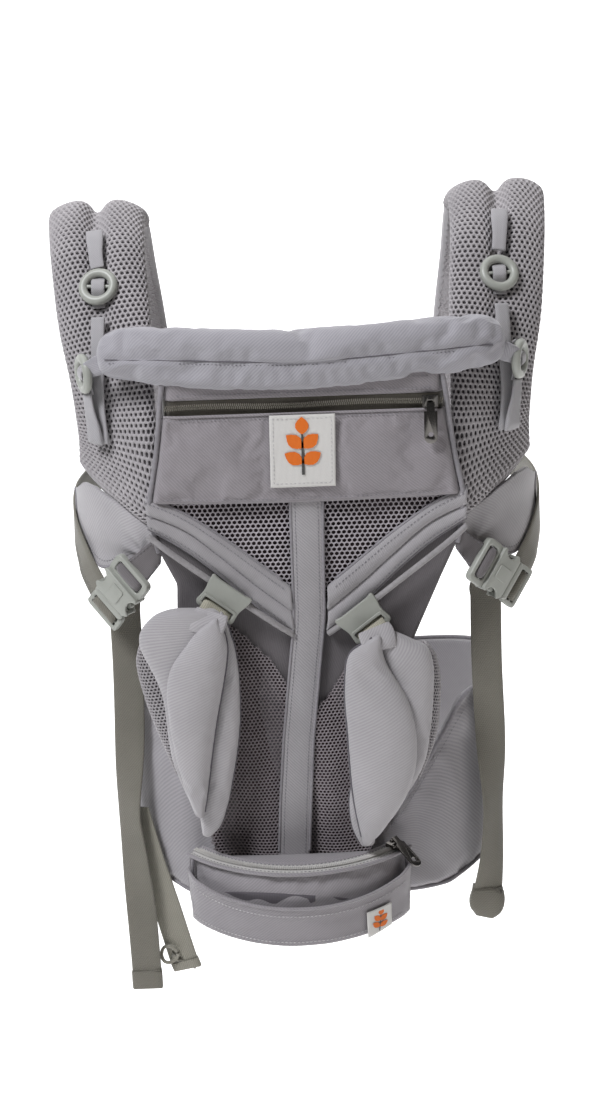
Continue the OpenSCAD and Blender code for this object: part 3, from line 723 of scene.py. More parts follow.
rim = np.r_[grid[:2].ravel(), grid[-2:].ravel(), grid[:, :3].ravel(), grid[:, -3:].ravel()]
under_label = grid[(np.abs(x + 1.5) < 30) & (z > 281)]
fill_out(pocket, np.r_[rim, under_label, grid.ravel() + grid.size], 0.4, 0.035, 2.2, frames=14, stiffness=9)
round_off(pocket)
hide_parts("chest_pocket")

x, z = between_edges([(376, -104, 103), (357, -107, 107), (355.5, -107, 107)], 12, 80)
y = POCKET_Y + 0.7 + 0.3 * roughly(x, z, 22, 7.7) + 6.5 * np.clip(np.abs(x) - 101, 0, 6) / 6
upper_points = np.stack([x, y, z], 2)
top_edge = cloth_piece("chest_top_cloth", upper_points, pocket_twill, "carrier", 2.0)

x, z = between_edges([(357.5, -107, 107), (341.5, -107, 107)], 8, 60)
y = POCKET_Y + 1.4 + 0.3 * roughly(x, z, 30, 4.4) + 7.0 * np.clip(np.abs(x) - 101, 0, 6) / 6
tape_cloth = cloth_finish("zip_tape_dark", "#4f4b43", 1.2, 0.5, rough=0.75)
tape = cloth_piece("chest_zip_tape", np.stack([x, y, z], 2), tape_cloth, "carrier", 0.8)
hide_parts("chest_zip")


def moulded_finish(name, code, rough, speckle=0.03, grain=0.00006):
    """Injection-moulded plastic: a fine eroded mould texture with satin gloss and worn lighter spots."""
    made, tree, shader = new_material(name)
    place = add_node(tree, "ShaderNodeTexCoord")
    mould = add_node(tree, "ShaderNodeTexNoise", {"Vector": place.outputs["Object"], "Scale": 1800.0,
                     "Detail": 2.0})
    wear = add_node(tree, "ShaderNodeTexNoise", {"Vector": place.outputs["Object"], "Scale": 60.0,
                    "Detail": 4.0})
    base = np.array(linear(code))[:3]
    tone = add_node(tree, "ShaderNodeMix", {"Factor": wear.outputs[0]}, data_type="RGBA")
    tone.inputs[6].default_value = (*(base * (1 - 3 * speckle)), 1)
    tone.inputs[7].default_value = (*(base * (1 + 3 * speckle)), 1)
    tree.links.new(tone.outputs[2], shader.inputs["Base Color"])
    bump = add_node(tree, "ShaderNodeBump", {"Height": mould.outputs[0], "Strength": 0.35, "Distance": grain})
    tree.links.new(bump.outputs[0], shader.inputs["Normal"])
    shader.inputs["Roughness"].default_value = rough
    shader.inputs["IOR"].default_value = 1.48
    return made


def plated_finish(name, code, rough):
    """Zinc casting plated with black nickel: dark mirror metal with fine polishing marks."""
    made, tree, shader = new_material(name)
    place = add_node(tree, "ShaderNodeTexCoord")
    marks = add_node(tree, "ShaderNodeTexNoise", {"Vector": place.outputs["Object"], "Scale": 700.0,
                     "Detail": 4.0})
    ramp = add_node(tree, "ShaderNodeMapRange", {"Value": marks.outputs[0], "To Min": rough * 0.7,
                    "To Max": rough * 1.5})
    tree.links.new(ramp.outputs[0], shader.inputs["Roughness"])
    shader.inputs["Base Color"].default_value = linear(code)
    shader.inputs["Metallic"].default_value = 1.0
    return made


coil_nylon = moulded_finish("nylon_coil_dark", "#6d695f", 0.35)
black_nickel = plated_finish("black_nickel_plate", "#6a6764", 0.2)


def coil_lines(line, across):
    """The two sides of a zip's coil, from its middle line and the way across it."""
    p = np.array(line, float)
    return [p + np.array(across) * off for off in (-1.05, 1.05)]


middle = [(-105 + 21 * i, POCKET_Y - 0.4, ZIP_Z + 0.7 * math.sin(i * 1.1)) for i in range(11)]
smooth_middle = spline(middle, 6)
for number, line in enumerate(coil_lines(smooth_middle, (0, 0, 1))):
    line = line + (0.75 * number, 0, 0)
    teeth = row_of(f"chest_zip_coil_{number + 1}", [line], 1.5, (1.05, 1.7, 2.6), coil_nylon, "carrier")
stitches("chest_zip_stitching", [upper_points[-3, ::5] - (0, 0.8, 0), upper_points[-8, ::5] - (0, 0.8, 0)],
         "carrier", sewing_thread)
edge_line = pocket_points[0, 2:-2:5] + (0, -0.6, -1.2)
lip = cords("chest_pocket_lip", [pocket_points[0, 1:-1:5] + (0, -0.4, 0)], 1.1, pocket_twill, "carrier")
hem_line = pocket_points[-4, 4:-4:5] - (0, 1.6, 0)
stitches("chest_pocket_stitching", [hem_line, edge_line - (0, 0.8, 1.4)], "carrier")
side_pipes = []
for sign in SIDES.values():
    side_pipes.append([(sign * 105, PANEL_Y - 6, 374), (sign * 108, PANEL_Y - 6.5, 357),
                       (sign * 114, PANEL_Y - 6.5, 312), (sign * 121, PANEL_Y - 5, 276),
                       (sign * 120.5, PANEL_Y - 3.5, 262), (sign * 119, PANEL_Y - 1, 243),
                       (sign * 117, PANEL_Y + 1, 232)])
pipes = cords("chest_side_piping", side_pipes, 2.0, edge_cord, "carrier", sides=10)

hood_rings = []
for u in np.linspace(-1, 1, 40):
    turn = np.linspace(0, 2 * np.pi, 28, endpoint=False)
    width = 17 * min(1, (1 - abs(u)) * 14 + 0.1)
    ripple = 0.5 * np.sin(3 * turn + 6 * u)
    hood_rings.append(np.stack([np.full(28, 88 * u), PANEL_Y - 3 + (1.7 + 0.3 * ripple) * np.sin(turn),
                                312 + (width + ripple) * np.cos(turn)], 1))
hood = shell_piece("folded_hood", np.array(hood_rings), hood_cloth, "carrier")
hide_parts("stowed_hood")


def finished_copy(name, nodes, material, body, bevel=0.5, segments=2):
    """CAD nodes with their edges rounded off as a mould or die rounds them."""
    mesh = bpy.data.meshes.new(name)
    work = bmesh.new()
    for node in nodes:
        work.from_mesh(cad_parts[node].data)
    bmesh.ops.remove_doubles(work, verts=work.verts, dist=2e-6)
    bmesh.ops.dissolve_limit(work, angle_limit=math.radians(1), verts=work.verts, edges=work.edges)
    bmesh.ops.recalc_face_normals(work, faces=work.faces)
    work.to_mesh(mesh)
    work.free()
    mesh.materials.clear()
    mesh.materials.append(material)
    piece = bpy.data.objects.new(name, mesh)
    scene.collection.objects.link(piece)
    edge = piece.modifiers.new("edge", "BEVEL")
    edge.width = bevel * MM
    edge.segments = segments
    edge.limit_method = "ANGLE"
    edge.angle_limit = math.radians(38)
    edge.use_clamp_overlap = True
    piece.data = bpy.data.meshes.new_from_object(
        piece.evaluated_get(bpy.context.evaluated_depsgraph_get()))
    piece.modifiers.clear()
    for face in piece.data.polygons:
        face.material_index = 0
    piece.data.shade_smooth()
    piece.data.set_sharp_from_angle(angle=math.radians(32))
    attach(piece, body)
    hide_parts(*nodes)
    return piece


finished_copy("chest_slider", ["chest_zip_slider"], black_nickel, "chest_zip_slider", 0.7)
finished_copy("chest_pull", ["chest_zip_pull"], black_nickel, "chest_zip_pull", 0.45)

# ---------------------------------------------------------------- Label
# A woven off-white label is sewn to the pocket. It carries a plain leaf sprig.

label_weave = cloth_finish("woven_label_satin", "#d3d1cd", 0.9, 0.4, sheen=0.1, mottling=0.02, rough=0.6)
orange_weave = cloth_finish("woven_orange_yarn", "#e0701f", 0.9, 0.4, sheen=0.1, mottling=0.03, rough=0.6)
stem_weave = cloth_finish("woven_grey_yarn", "#4a4a48", 0.9, 0.4, sheen=0.1, mottling=0.03, rough=0.6)


def leaf_sprig(name, middle, size, turn, face_y, body):
    """Four pointed leaves on a bent stem, woven a hair proud of the label."""
    verts, faces, kinds = [], [], []
    pairs = [(-0.26, 150), (-0.26, 30), (0.06, 140), (0.06, 40), (0.34, 90)]
    for base, angle in pairs:
        length = 0.42 if base < 0.3 else 0.36
        start = len(verts)
        steps = 14
        for k in range(steps):
            t = 2 * math.pi * k / steps
            along = length * (0.5 - 0.5 * math.cos(t / 1.0))
            wide = 0.14 * math.sin(t) * math.sin(math.pi * min(1, 0.08 + along / length * 0.92)) ** 0.5
            a = math.radians(angle)
            verts.append((along * math.cos(a) - wide * math.sin(a),
                          base + along * math.sin(a) + wide * math.cos(a)))
        faces.append(list(range(start, start + steps)))
        kinds.append(0)
    start = len(verts)
    stem = [(-0.03, -0.5), (0.03, -0.5), (0.02, 0.34), (-0.02, 0.34)]
    verts += stem
    faces.append([start, start + 1, start + 2, start + 3])
    kinds.append(1)
    work = bmesh.new()
    ca, sa = math.cos(turn), math.sin(turn)
    for px, pz in verts:
        qx, qz = px * ca - pz * sa, px * sa + pz * ca
        at_x = middle[0] + size * qx
        at_y = face_y(at_x) if callable(face_y) else face_y
        work.verts.new((at_x * MM, at_y * MM, (middle[1] + size * qz) * MM))
    work.verts.ensure_lookup_table()
    for corners, kind in zip(faces, kinds):
        made = work.faces.new([work.verts[i] for i in corners])
        made.material_index = kind
    raised = bmesh.ops.extrude_face_region(work, geom=work.faces[:], use_keep_orig=True)
    for item in raised["geom"]:
        if isinstance(item, bmesh.types.BMVert):
            item.co.y += 0.35 * MM
    bmesh.ops.recalc_face_normals(work, faces=work.faces)
    mesh = bpy.data.meshes.new(name)
    work.to_mesh(mesh)
    work.free()
    mesh.materials.append(orange_weave)
    mesh.materials.append(stem_weave)
    piece = bpy.data.objects.new(name, mesh)
    scene.collection.objects.link(piece)
    layer = mesh.uv_layers.new(name="cloth")
    for loop in mesh.loops:
        co = mesh.vertices[loop.vertex_index].co
        layer.data[loop.index].uv = (co.x, co.z)
    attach(piece, body)
    return piece


x, z = between_edges([(343, -26, 24), (286, -27, 23)], 40, 36)
label_y = POCKET_Y - 5.2 + 0.35 * roughly(x, z, 26, 3.0)
label_points = np.stack([x, label_y, z], 2)
label = cloth_piece("badge_label", label_points, label_weave, "carrier", 1.0)
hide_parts("badge_patch")
corners = [label_points[a, b] - (0, 0.15, 0) for a, b in ((2, 2), (2, -3), (-3, -3), (-3, 2), (2, 2))]
border = row_of("badge_stitching", [[tuple(c) for c in corners]], 3.3, (2.2, 0.6, 0.6), light_thread, "carrier")
leaf_sprig("badge_sprig", (-1.5, 315), 38, 0.0, POCKET_Y - 6.0, "carrier")

# ---------------------------------------------------------------- Side wings
# Plain twill carries the panel round the wearer's sides. It is soft, and gathers where the
# buckle's tab pulls on it.

SIDE_R = 100.0
SIDE_X, SIDE_Y = 90.0, -25.0
light_twill = cloth_finish("brushed_twill_light", "#a9a6a8", 1.9, 0.5, angle=0.8, sheen=0.3)
wing_top = [(113, 246), (129, 255), (150, 268), (168, 276), (178, 276), (189, 262)]
wing_bottom = [(115, 236), (131, 213), (147, 223), (163, 209), (172, 212), (189, 228)]


def between_lines(upper, lower, rows, cols, span):
    """Grids of x and z between an upper and a lower line over a span of x."""
    xs = np.linspace(*span, cols)
    top = np.interp(xs, *np.array(upper, float).T)
    low = np.interp(xs, *np.array(lower, float).T)
    t = np.linspace(0, 1, rows)[:, None]
    return np.repeat(xs[None], rows, 0), top * (1 - t) + low * t


def round_side(x, z, sign, out=0.0):
    """Points on the rounded side of the wearer, from their place across in the front view."""
    turn = np.arcsin(np.clip((x - SIDE_X) / (SIDE_R + out), 0, 0.995))
    flat = x < SIDE_X
    py = np.where(flat, SIDE_Y - SIDE_R - out, SIDE_Y - (SIDE_R + out) * np.cos(turn))
    return np.stack([sign * x, py, z], -1)


for side, sign in SIDES.items():
    x, z = between_lines(wing_top, wing_bottom, 50, 60, (114, 188.5))
    pull = np.hypot(x - 128, z - 226)
    fold = 1.5 * np.sin(np.arctan2(z - 226, x - 128) * 7 + sign) * np.exp(-pull / 34) * np.clip(pull / 8, 0, 1)
    bump = fold + 1.4 * roughly(x * sign, z, 26, 8.0)
    p = round_side(x, z, sign, 0.0)
    n = normals_of(p)
    n[n[:, :, 1] > 0] *= -1
    p = p + n * bump[..., None]
    wing = cloth_piece(side + "_wing_cloth", p, light_twill, "carrier", 3.0)
    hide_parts(side + "_side_wing")
    hem = [p[-1, ::6], p[::6, -1]]
    hem_cord = cords(side + "_wing_hem", hem, 1.2, edge_cord, "carrier")
    stitches(side + "_wing_stitching", [p[-5, ::6] + n[-5, ::6] * 0.3], "carrier")

# ---------------------------------------------------------------- Shoulder pads
# Thick foam pads run over both shoulders in one piece. The front is covered all round in
# spacer mesh; the back has spacer mesh on the body side and smooth twill outside.

PAD_W, PAD_T = 76.0, 17.0
pad_front_path = [
    (148, -100, 268, 42, 88, 9), (146, -99, 316, 36, 80, 12), (148, -88, 362, 26, 74, 15),
    (153, -66, 408, 14, PAD_W, PAD_T), (158, -34, 448, 8, PAD_W, PAD_T), (161, 4, 469, 4, PAD_W + 2, PAD_T + 2),
    (161, 24, 468, 3, PAD_W + 4, PAD_T + 4), (160, 46, 458, 2, PAD_W + 4, PAD_T + 4)]
TOP_LIFT = {"left": 3.0, "right": 9.0}
pad_back_path = [
    (161, 5, 469, 4, PAD_W, PAD_T), (160, 44, 458, 2, PAD_W, PAD_T), (156, 78, 420, 0, 70, PAD_T),
    (150, 97, 370, 0, 66, PAD_T), (143, 106, 310, 0, 60, 16), (138, 110, 252, 0, 44, 13)]
mesh_yarn = thread_finish("spacer_mesh_yarn", "#a09c9e", spread=0.1)
# Painted shade: a dark yarn colour for the bottoms of the spacer mesh's holes, standing in for the shade inside them.
mesh_shade = thread_finish("spacer_mesh_painted_hole_shade", "#4c484b", rough=0.9)


def mirrored(path):
    """The left side's stations."""
    return [(-s[0], s[1], s[2], -s[3], *s[4:]) for s in path]


def lifted(path, side):
    """Stations on one shoulder, which sits a little higher at its top than the frame's."""
    return [(*s[:2], s[2] + TOP_LIFT[side] * min(1, max(0, (s[2] - 415) / 50)), *s[3:]) for s in path]


def frames_along(stations):
    """Directions along, across and out of the wearer for each row of stations."""
    p = stations[:, :3]
    along = np.gradient(p, axis=0)
    along /= np.linalg.norm(along, axis=1, keepdims=True)
    turn = np.radians(stations[:, 3])
    level = np.stack([np.cos(turn), np.sin(turn), 0 * turn], 1)
    inward = np.cross(along, level)
    inward /= np.linalg.norm(inward, axis=1, keepdims=True)
    return p, along, np.cross(inward, along), -inward


def pad_section(width, thick, dent, count, shift):
    """One ring round a pad, evenly spaced: two lobes on the outer face with a dent between."""
    turn = np.linspace(0, 2 * np.pi, 241)
    c, s = np.cos(turn), np.sin(turn)
    a = width / 2 * np.sign(c) * np.abs(c) ** 0.75
    b = thick / 2 * np.sign(s) * np.abs(s) ** 0.75
    v = a / (width / 2)
    b = np.where(s > 0, b * (1 + 0.35 * dent * np.sin(np.pi * np.abs(v)) - dent * np.exp(-((v / 0.17) ** 2))), b)
    run = np.r_[0, np.cumsum(np.hypot(np.diff(a), np.diff(b)))]
    at = run[-1] * (np.arange(count) + shift) / count
    return np.interp(at, run, a), np.interp(at, run, b)


def pad_rings(path, row_gap, col_gap, dent_at, swell, lattice, seed, slanted_end=False):
    """Rings of points round a pad. A lattice shifts every other ring by half a space."""
    dense = spline(path, 12)
    run = np.r_[0, np.cumsum(np.linalg.norm(np.diff(dense[:, :3], axis=0), axis=1))]
    rows = int(run[-1] / row_gap)
    at = np.linspace(0, run[-1], rows)
    st = np.stack([np.interp(at, run, dense[:, k]) for k in range(6)], 1)
    p, along, across, out = frames_along(st)
    count = int(round((2 * st[:, 4].mean() + st[:, 5].mean()) / col_gap))
    rings = []
    for i in range(rows):
        end = min(1, 0.1 + 0.9 * math.sqrt(min(i, rows - 1 - i) / 3)) if min(i, rows - 1 - i) < 3 else 1
        shift = 0.5 * (i % 2) if lattice else 0
        a, b = pad_section(st[i, 4], st[i, 5] * swell, dent_at(st[i]), count, shift)
        lump = 1 + 0.1 * roughly(a + 50, b * 0 + at[i], 30, seed)
        rings.append(p[i] + across[i] * (a * end)[:, None] + out[i] * (b * lump * end)[:, None])
    rings = np.array(rings)
    slant = np.clip((330 - rings[:, :, 2]) / 62, 0, 1) if slanted_end else 0
    rings[:, :, 2] += slant * ((np.abs(rings[:, :, 0]) - 148) * 0.62 - 5)
    return rings


def lattice_tube(name, rings, thread):
    """A closed tube of triangles whose rings are half a space apart."""
    rows, cols = rings.shape[:2]
    k = np.arange(rows * cols).reshape(rows, cols)
    faces = []
    for i in range(rows - 1):
        a, b = k[i], k[i + 1]
        an, bn = np.roll(a, -1), np.roll(b, -1)
        if i % 2 == 0:
            faces += np.stack([a, an, b], 1).tolist() + np.stack([an, bn, b], 1).tolist()
        else:
            faces += np.stack([a, an, bn], 1).tolist() + np.stack([a, bn, b], 1).tolist()
    verts = np.concatenate([rings.reshape(-1, 3), rings[:1].mean(1), rings[-1:].mean(1)])
    faces += [[rows * cols, n, m] for m, n in zip(k[0], np.roll(k[0], -1))]
    faces += [[rows * cols + 1, m, n] for m, n in zip(k[-1], np.roll(k[-1], -1))]
    return show(name, verts, faces, thread, None)


def front_dent(station):
    """The crease between the lobes: deep over the shoulder, gone at the head support."""
    return 0.75 * min(1, max(0, (station[2] - 372) / 70))


for side, sign in SIDES.items():
    front = lifted(pad_front_path if sign > 0 else mirrored(pad_front_path), side)
    back = lifted(pad_back_path if sign > 0 else mirrored(pad_back_path), side)
    rings = pad_rings(front, 3.75, 4.35, front_dent, 1.15, True, 2.0 + sign, slanted_end=True)
    pad = lattice_tube(side + "_shoulder_mesh_pad", rings, mesh_yarn)
    run_nodes(pad, closed_net, Hole=0.6, Rise=0.45 * MM, Depth=1.3 * MM, Thread=mesh_yarn, Shade=mesh_shade)
    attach(pad, "carrier")
    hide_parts(side + "_shoulder_front")
    rings = pad_rings(back, 5.0, 5.0, lambda s: 0.5 * min(1, max(0, (s[2] - 420) / 40)), 1.12, False, 6.0 + sign)
    rear = shell_piece(side + "_shoulder_back_pad", rings, light_twill, "carrier")
    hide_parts(side + "_shoulder_back")
    dense = spline(back, 12)
    p, along, across, out = frames_along(dense)
    half = dense[:, 4:5] / 2
    edges = [(p + across * (half + 0.3) * k + out * 0.5)[40::4] for k in (-1, 1)]
    piping = cords(side + "_back_pad_piping", edges, 1.5, edge_cord, "carrier")
    lattice, index = [], []
    run = np.r_[0, np.cumsum(np.linalg.norm(np.diff(p, axis=0), axis=1))]
    rows, cols = int(run[-1] / 3.9), 15
    at = np.linspace(3, run[-1] - 4, rows)
    pick = [np.stack([np.interp(at, run, q[:, k]) for k in range(3)], 1) for q in (p, across, out)]
    wide, thick = np.interp(at, run, dense[:, 4]), np.interp(at, run, dense[:, 5])
    verts = []
    for i in range(rows):
        for j in range(cols):
            v = ((j + 0.5 * (i % 2)) / (cols - 0.5)) * 1.84 - 0.92
            deep = thick[i] / 2 * 1.12 * (1 - abs(v) ** 2.67) ** 0.375 + 0.5
            verts.append(pick[0][i] + pick[1][i] * v * wide[i] / 2 - pick[2][i] * deep)
    faces = []
    for i in range(rows - 1):
        for j in range(cols - 1):
            a, b, c, d = i * cols + j, i * cols + j + 1, (i + 1) * cols + j, (i + 1) * cols + j + 1
            faces += [[a, b, c], [b, d, c]] if i % 2 == 0 else [[a, b, d], [a, d, c]]
    inner = show(side + "_back_pad_inner_mesh", verts, faces, mesh_yarn, None)
    if inner.data.polygons[len(faces) // 2].normal.dot(Vector(pick[2][rows // 2])) > 0:
        inner.data.flip_normals()
    run_nodes(inner, closed_net, Hole=0.6, Rise=0.4 * MM, Depth=0.9 * MM, Thread=mesh_yarn, Shade=mesh_shade)
    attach(inner, "carrier")

# ---------------------------------------------------------------- Button straps and rings
# A narrow stitched strap runs down the front of each pad and passes through two moulded
# rings, round the bar in the middle of each. The head support buttons on to them.

strap_cloth = cloth_finish("folded_strap_cloth", "#a5a3a5", 1.2, 0.5, angle=0.8)
acetal = moulded_finish("moulded_acetal_grey", "#999b94", 0.38)
UPPER_RING = np.array([156.0, -66.0, 432.0])
UPPER_UP = np.array([0.0, 0.616, 0.788])
UPPER_OUT = np.array([0.0, -0.788, 0.616])
LOWER_RING = np.array([168.0, -103.0, 372.0])
LOWER_YAW = math.radians(68)
LOWER_OUT = np.array([math.sin(LOWER_YAW), -math.cos(LOWER_YAW), 0.0])


def refinish(node, material):
    """Gives a CAD node its real finish."""
    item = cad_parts[node]
    item.data.materials.clear()
    item.data.materials.append(material)


def band_rings(path, steps=6, rib=0.0, pitch=1.6):
    """Rings round a flat band: soft corners, and cross ribs if rib is over 0."""
    st = spline(path, steps)
    if rib:
        run = np.linalg.norm(np.diff(st[:, :3], axis=0), axis=1).sum()
        st = resample(st, int(run / pitch * 4) + 2)
    p, along, across, out = frames_along(st)
    corner = np.array([(-0.9, 1), (-0.45, 1.04), (0, 1.04), (0.45, 1.04), (0.9, 1), (1, 0.5), (1, -0.5),
                       (0.9, -1), (0.45, -1.04), (0, -1.04), (-0.45, -1.04), (-0.9, -1), (-1, -0.5), (-1, 0.5)])
    wide, thick = st[:, 4] / 2, st[:, 5] / 2
    if rib:
        run = np.r_[0, np.cumsum(np.linalg.norm(np.diff(p, axis=0), axis=1))]
        thick = thick + rib * np.cos(2 * np.pi * run / pitch)
    a = wide[:, None] * corner[None, :, 0]
    b = thick[:, None] * corner[None, :, 1]
    return p[:, None] + across[:, None] * a[..., None] + out[:, None] * b[..., None]


def band_piece(name, path, material, body, steps=6, rib=0.0, pitch=1.6):
    """A closed flat band of cloth or webbing."""
    return shell_piece(name, band_rings(path, steps, rib, pitch), material, body)


def band_edges(path, inset, steps=6, lift=0.35):
    """Two lines on the outer face of a band, inset from its edges."""
    st = spline(path, steps)
    p, along, across, out = frames_along(st)
    return [p + across * (st[:, 4:5] / 2 - inset) * k + out * (st[:, 5:6] / 2 + lift) for k in (-1, 1)]


strap_low = [(156, -82, 411, 14, 11, 2.2), (157, -93, 388, 24, 11, 2.2), (158, -102, 352, 32, 11, 2.2),
             (157, -105, 330, 34, 11, 2.2), (156.5, -106, 322, 35, 12, 3.6), (156.5, -105, 318, 35, 12, 2.5)]
strap_tab = [(160, -30, 466, 6, 13, 2.6), (159, -40, 461, 7, 13, 2.6), (158, -50, 452, 8, 11, 2.2),
             (156.5, -56.5, 443, 10, 11, 2.2)]
for side, sign in SIDES.items():
    turned = lambda path, side=side: lifted(path if side == "right" else mirrored(path), side)
    low = band_piece(side + "_button_strap", turned(strap_low), strap_cloth, "carrier", 8)
    tab = band_piece(side + "_ring_tab", turned(strap_tab), strap_cloth, "carrier")
    if side == "left":
        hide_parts("button_straps")
    stitches(side + "_strap_stitching",
             [line[::3] for path in (strap_low, strap_tab) for line in band_edges(turned(path), 1.6)],
             "carrier", length=1.8, gap=0.8)
    mirror_x = np.array([sign, 1, 1])
    heights = [(14, -5), (9, -3.4), (4.5, 1.0), (2.6, 2.4), (0, 2.8), (-2.6, 2.4), (-4.5, 1.0), (-9, -3.4), (-16, -5)]
    path = []
    for up, out_by in heights:
        c = (UPPER_RING + UPPER_UP * up + UPPER_OUT * out_by) * mirror_x
        path.append((*c, 10 * sign, 10.5, 1.6))
    loop = band_piece(side + "_upper_ring_loop", path[::-1], strap_cloth, side + "_upper_ring")
    path = []
    for up, out_by in heights:
        c = (LOWER_RING + np.array([0, 0, 1.0]) * up + LOWER_OUT * out_by) * mirror_x
        path.append((*c, 68 * sign, 10.5, 1.6))
    loop = band_piece(side + "_lower_ring_loop", path[::-1], strap_cloth, side + "_lower_ring")
    foot = [(166, -104, 356, 55, 11, 2.2), (165, -106, 344, 45, 11, 2.2), (163, -107, 332, 40, 13, 2.6),
            (162, -107, 322, 36, 14, 4.0), (161.5, -106, 317, 35, 14, 2.0)]
    folded = band_piece(side + "_lower_ring_foot", turned(foot), strap_cloth, "carrier")
    for height in ("upper", "lower"):
        refinish(f"{side}_{height}_ring", acetal)

# ---------------------------------------------------------------- Head support
# A firm roll of twill-covered foam across the top. Its seam runs along the front, where the
# cloth puckers a little, and its ends taper to small tabs.

pillow_twill = cloth_finish("pillow_twill_lilac", "#9f9da2", 1.9, 0.5, angle=0.8, sheen=0.35)
pillow_path = [(-154, -115, 388, 90, 10, 16), (-149, -116, 388, 90, 22, 32), (-132, -118, 388, 90, 30, 41),
               (-100, -122, 388, 90, 34, 44), (0, -127, 385, 90, 36, 43), (100, -122, 389, 90, 34, 42),
               (132, -118, 390, 90, 30, 40), (149, -116, 389, 90, 20, 30), (154, -115, 389, 90, 10, 14)]
PILLOW_COLS = 48
stations = resample(spline(pillow_path, 10), 84)
p, along, across, out = frames_along(stations)
turn = np.linspace(0, 2 * np.pi, PILLOW_COLS, endpoint=False)
c, s = np.cos(turn), np.sin(turn)
a = stations[:, 4:5] / 2 * np.sign(c) * np.abs(c) ** 0.8
b = stations[:, 5:6] / 2 * np.sign(s) * np.abs(s) ** 0.85
rings = p[:, None] + across[:, None] * a[..., None] + out[:, None] * b[..., None]
front_col = int(np.argmin(rings[40, :, 1] + 0.35 * rings[40, :, 2] * 0))
back_col = (front_col + PILLOW_COLS // 2) % PILLOW_COLS
seam_dip = np.array([0.0, 1.8, 0.0])
rings[4:-4, front_col] += seam_dip
seam_line = rings[:, front_col].copy()
pillow = shell_piece("head_support_roll", rings, pillow_twill, "head_support")
grid = np.arange(84 * PILLOW_COLS).reshape(84, PILLOW_COLS)
fill_out(pillow, np.r_[grid[:, front_col], grid[:, back_col], grid[0], grid[-1]], 4.0, 0.05, 4.5)
round_off(pillow)
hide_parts("head_support")
dark_thread = thread_finish("seam_shadow_thread", "#5c595e", rough=0.8)
seam = cords("head_support_seam", [seam_line[2:-2:3] - (0, 0.5, 0)], 0.65, dark_thread, "head_support", sides=6)
stitches("head_support_stitching", [seam_line[3:-3:3] + (0, -0.9, -2.4)], "head_support", dark_thread, 1.8, 1.2)
for side, sign in SIDES.items():
    tab = [(sign * 150, -120, 384, 90, 3, 14), (sign * 156, -118, 381, 90, 2.4, 14),
           (sign * 161, -114, 378, 90, 2.4, 13), (sign * 164, -110, 375, 90, 2.4, 12)]
    tab = band_piece(side + "_head_support_tab", tab, pillow_twill, "head_support")

# ---------------------------------------------------------------- Leg flaps
# Padded flaps beside the seat narrow it for a small baby. Each is a lens-shaped pad on a wider
# shell, with spacer mesh along its outer edge, and hangs from the seat slider by webbing.

flap_twill = cloth_finish("flap_twill_light", "#aba8aa", 1.9, 0.45, angle=0.8, sheen=0.3)


def leaf_rings(left, right, y_mid, thick, rows, cols, lean=0.0):
    """Rings of a padded leaf shape between a left and a right edge in the front view."""
    lines = [resample(spline([(x, 0, z) for x, z in edge], 8), rows) for edge in (left, right)]
    middle, half = (lines[0] + lines[1]) / 2, (lines[1] - lines[0]) / 2
    width = np.linalg.norm(half, axis=1)
    puff = np.sqrt(np.clip(width / width.max(), 0, 1))
    turn = np.linspace(0, 2 * np.pi, cols, endpoint=False)
    c, s = np.cos(turn), np.sin(turn)
    rings = middle[:, None] + half[:, None] * (np.sign(c) * np.abs(c) ** 0.9)[None, :, None]
    rings[:, :, 1] = y_mid - (thick / 2 * puff)[:, None] * (np.sign(s) * np.abs(s) ** 0.8)
    rings[:, :, 1] -= lean * (rings[:, :, 0] - middle[:, None, 0])
    return rings


def leaf_pad(name, left, right, y_mid, thick, material, joint, rows=56, cols=32, lean=0.0, cap=4.0, pressure=2.5):
    """A padded leaf, swelled out between its held edges, rounded off and its placement baked in."""
    rings = leaf_rings(left, right, y_mid, thick, rows, cols, lean)
    piece = shell_piece(name, rings, material, None)
    grid = np.arange(rows * cols).reshape(rows, cols)
    fill_out(piece, np.r_[grid[:, 0], grid[:, cols // 2], grid[0], grid[-1]], pressure, 0.005, cap)
    round_off(piece)
    hold_flap(piece)
    return piece, rings


def hold_flap(piece):
    """Bakes the piece's placement into its mesh; the piece rides on no body."""
    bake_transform(piece)


flap_shapes = {
    "left": {
        "lens": ([(-74, 187), (-86, 179), (-98, 165), (-111, 145), (-115, 118), (-111, 71), (-101, 30), (-95, 16)],
                 [(-72, 187), (-66, 170), (-67, 147), (-78, 93), (-86, 45), (-91, 16)], -156, 20),
        "shell": ([(-84, 191), (-108, 192), (-126, 184), (-135, 164), (-120, 121), (-115, 66), (-102, 23), (-98, 12)],
                  [(-74, 191), (-67, 182), (-68, 160), (-78, 120), (-86, 66), (-90, 28), (-92, 12)], -146, 20),
        "fold": ([(-70, 190), (-74, 150), (-86, 90), (-95, 30), (-94, -4)],
                 [(-67, 186), (-59, 148), (-60, 85), (-75, 13), (-88, -6)], -147, 14),
        "edge": ([(-132, 170), (-139, 147), (-134, 115), (-127, 90), (-113, 48)],
                 [(-128, 171), (-122, 147), (-114, 115), (-110, 91), (-108, 48)], -140, 13)},
    "right": {
        "lens": ([(50, 168), (38, 161), (28, 151), (25, 124), (26, 89), (29, 33), (36, -12)],
                 [(54, 168), (58, 145), (75, 111), (81, 71), (74, 35), (56, 4), (41, -14)], -156, 22),
        "shell": ([(52, 170), (52, 150), (62, 118), (70, 80), (70, 40), (66, 26)],
                  [(60, 170), (80, 160), (93, 150), (96, 120), (89, 60), (72, 24)], -146, 19),
        "fold": ([(36, 60), (27, 30), (28, 2), (35, -17)],
                 [(44, 60), (40, 30), (46, 4), (46, -15)], -150, 13),
        "edge": ([(86, 156), (90, 140), (90, 110), (85, 70), (80, 38)],
                 [(92, 154), (99, 142), (102, 115), (98, 75), (84, 36)], -140, 13)}}
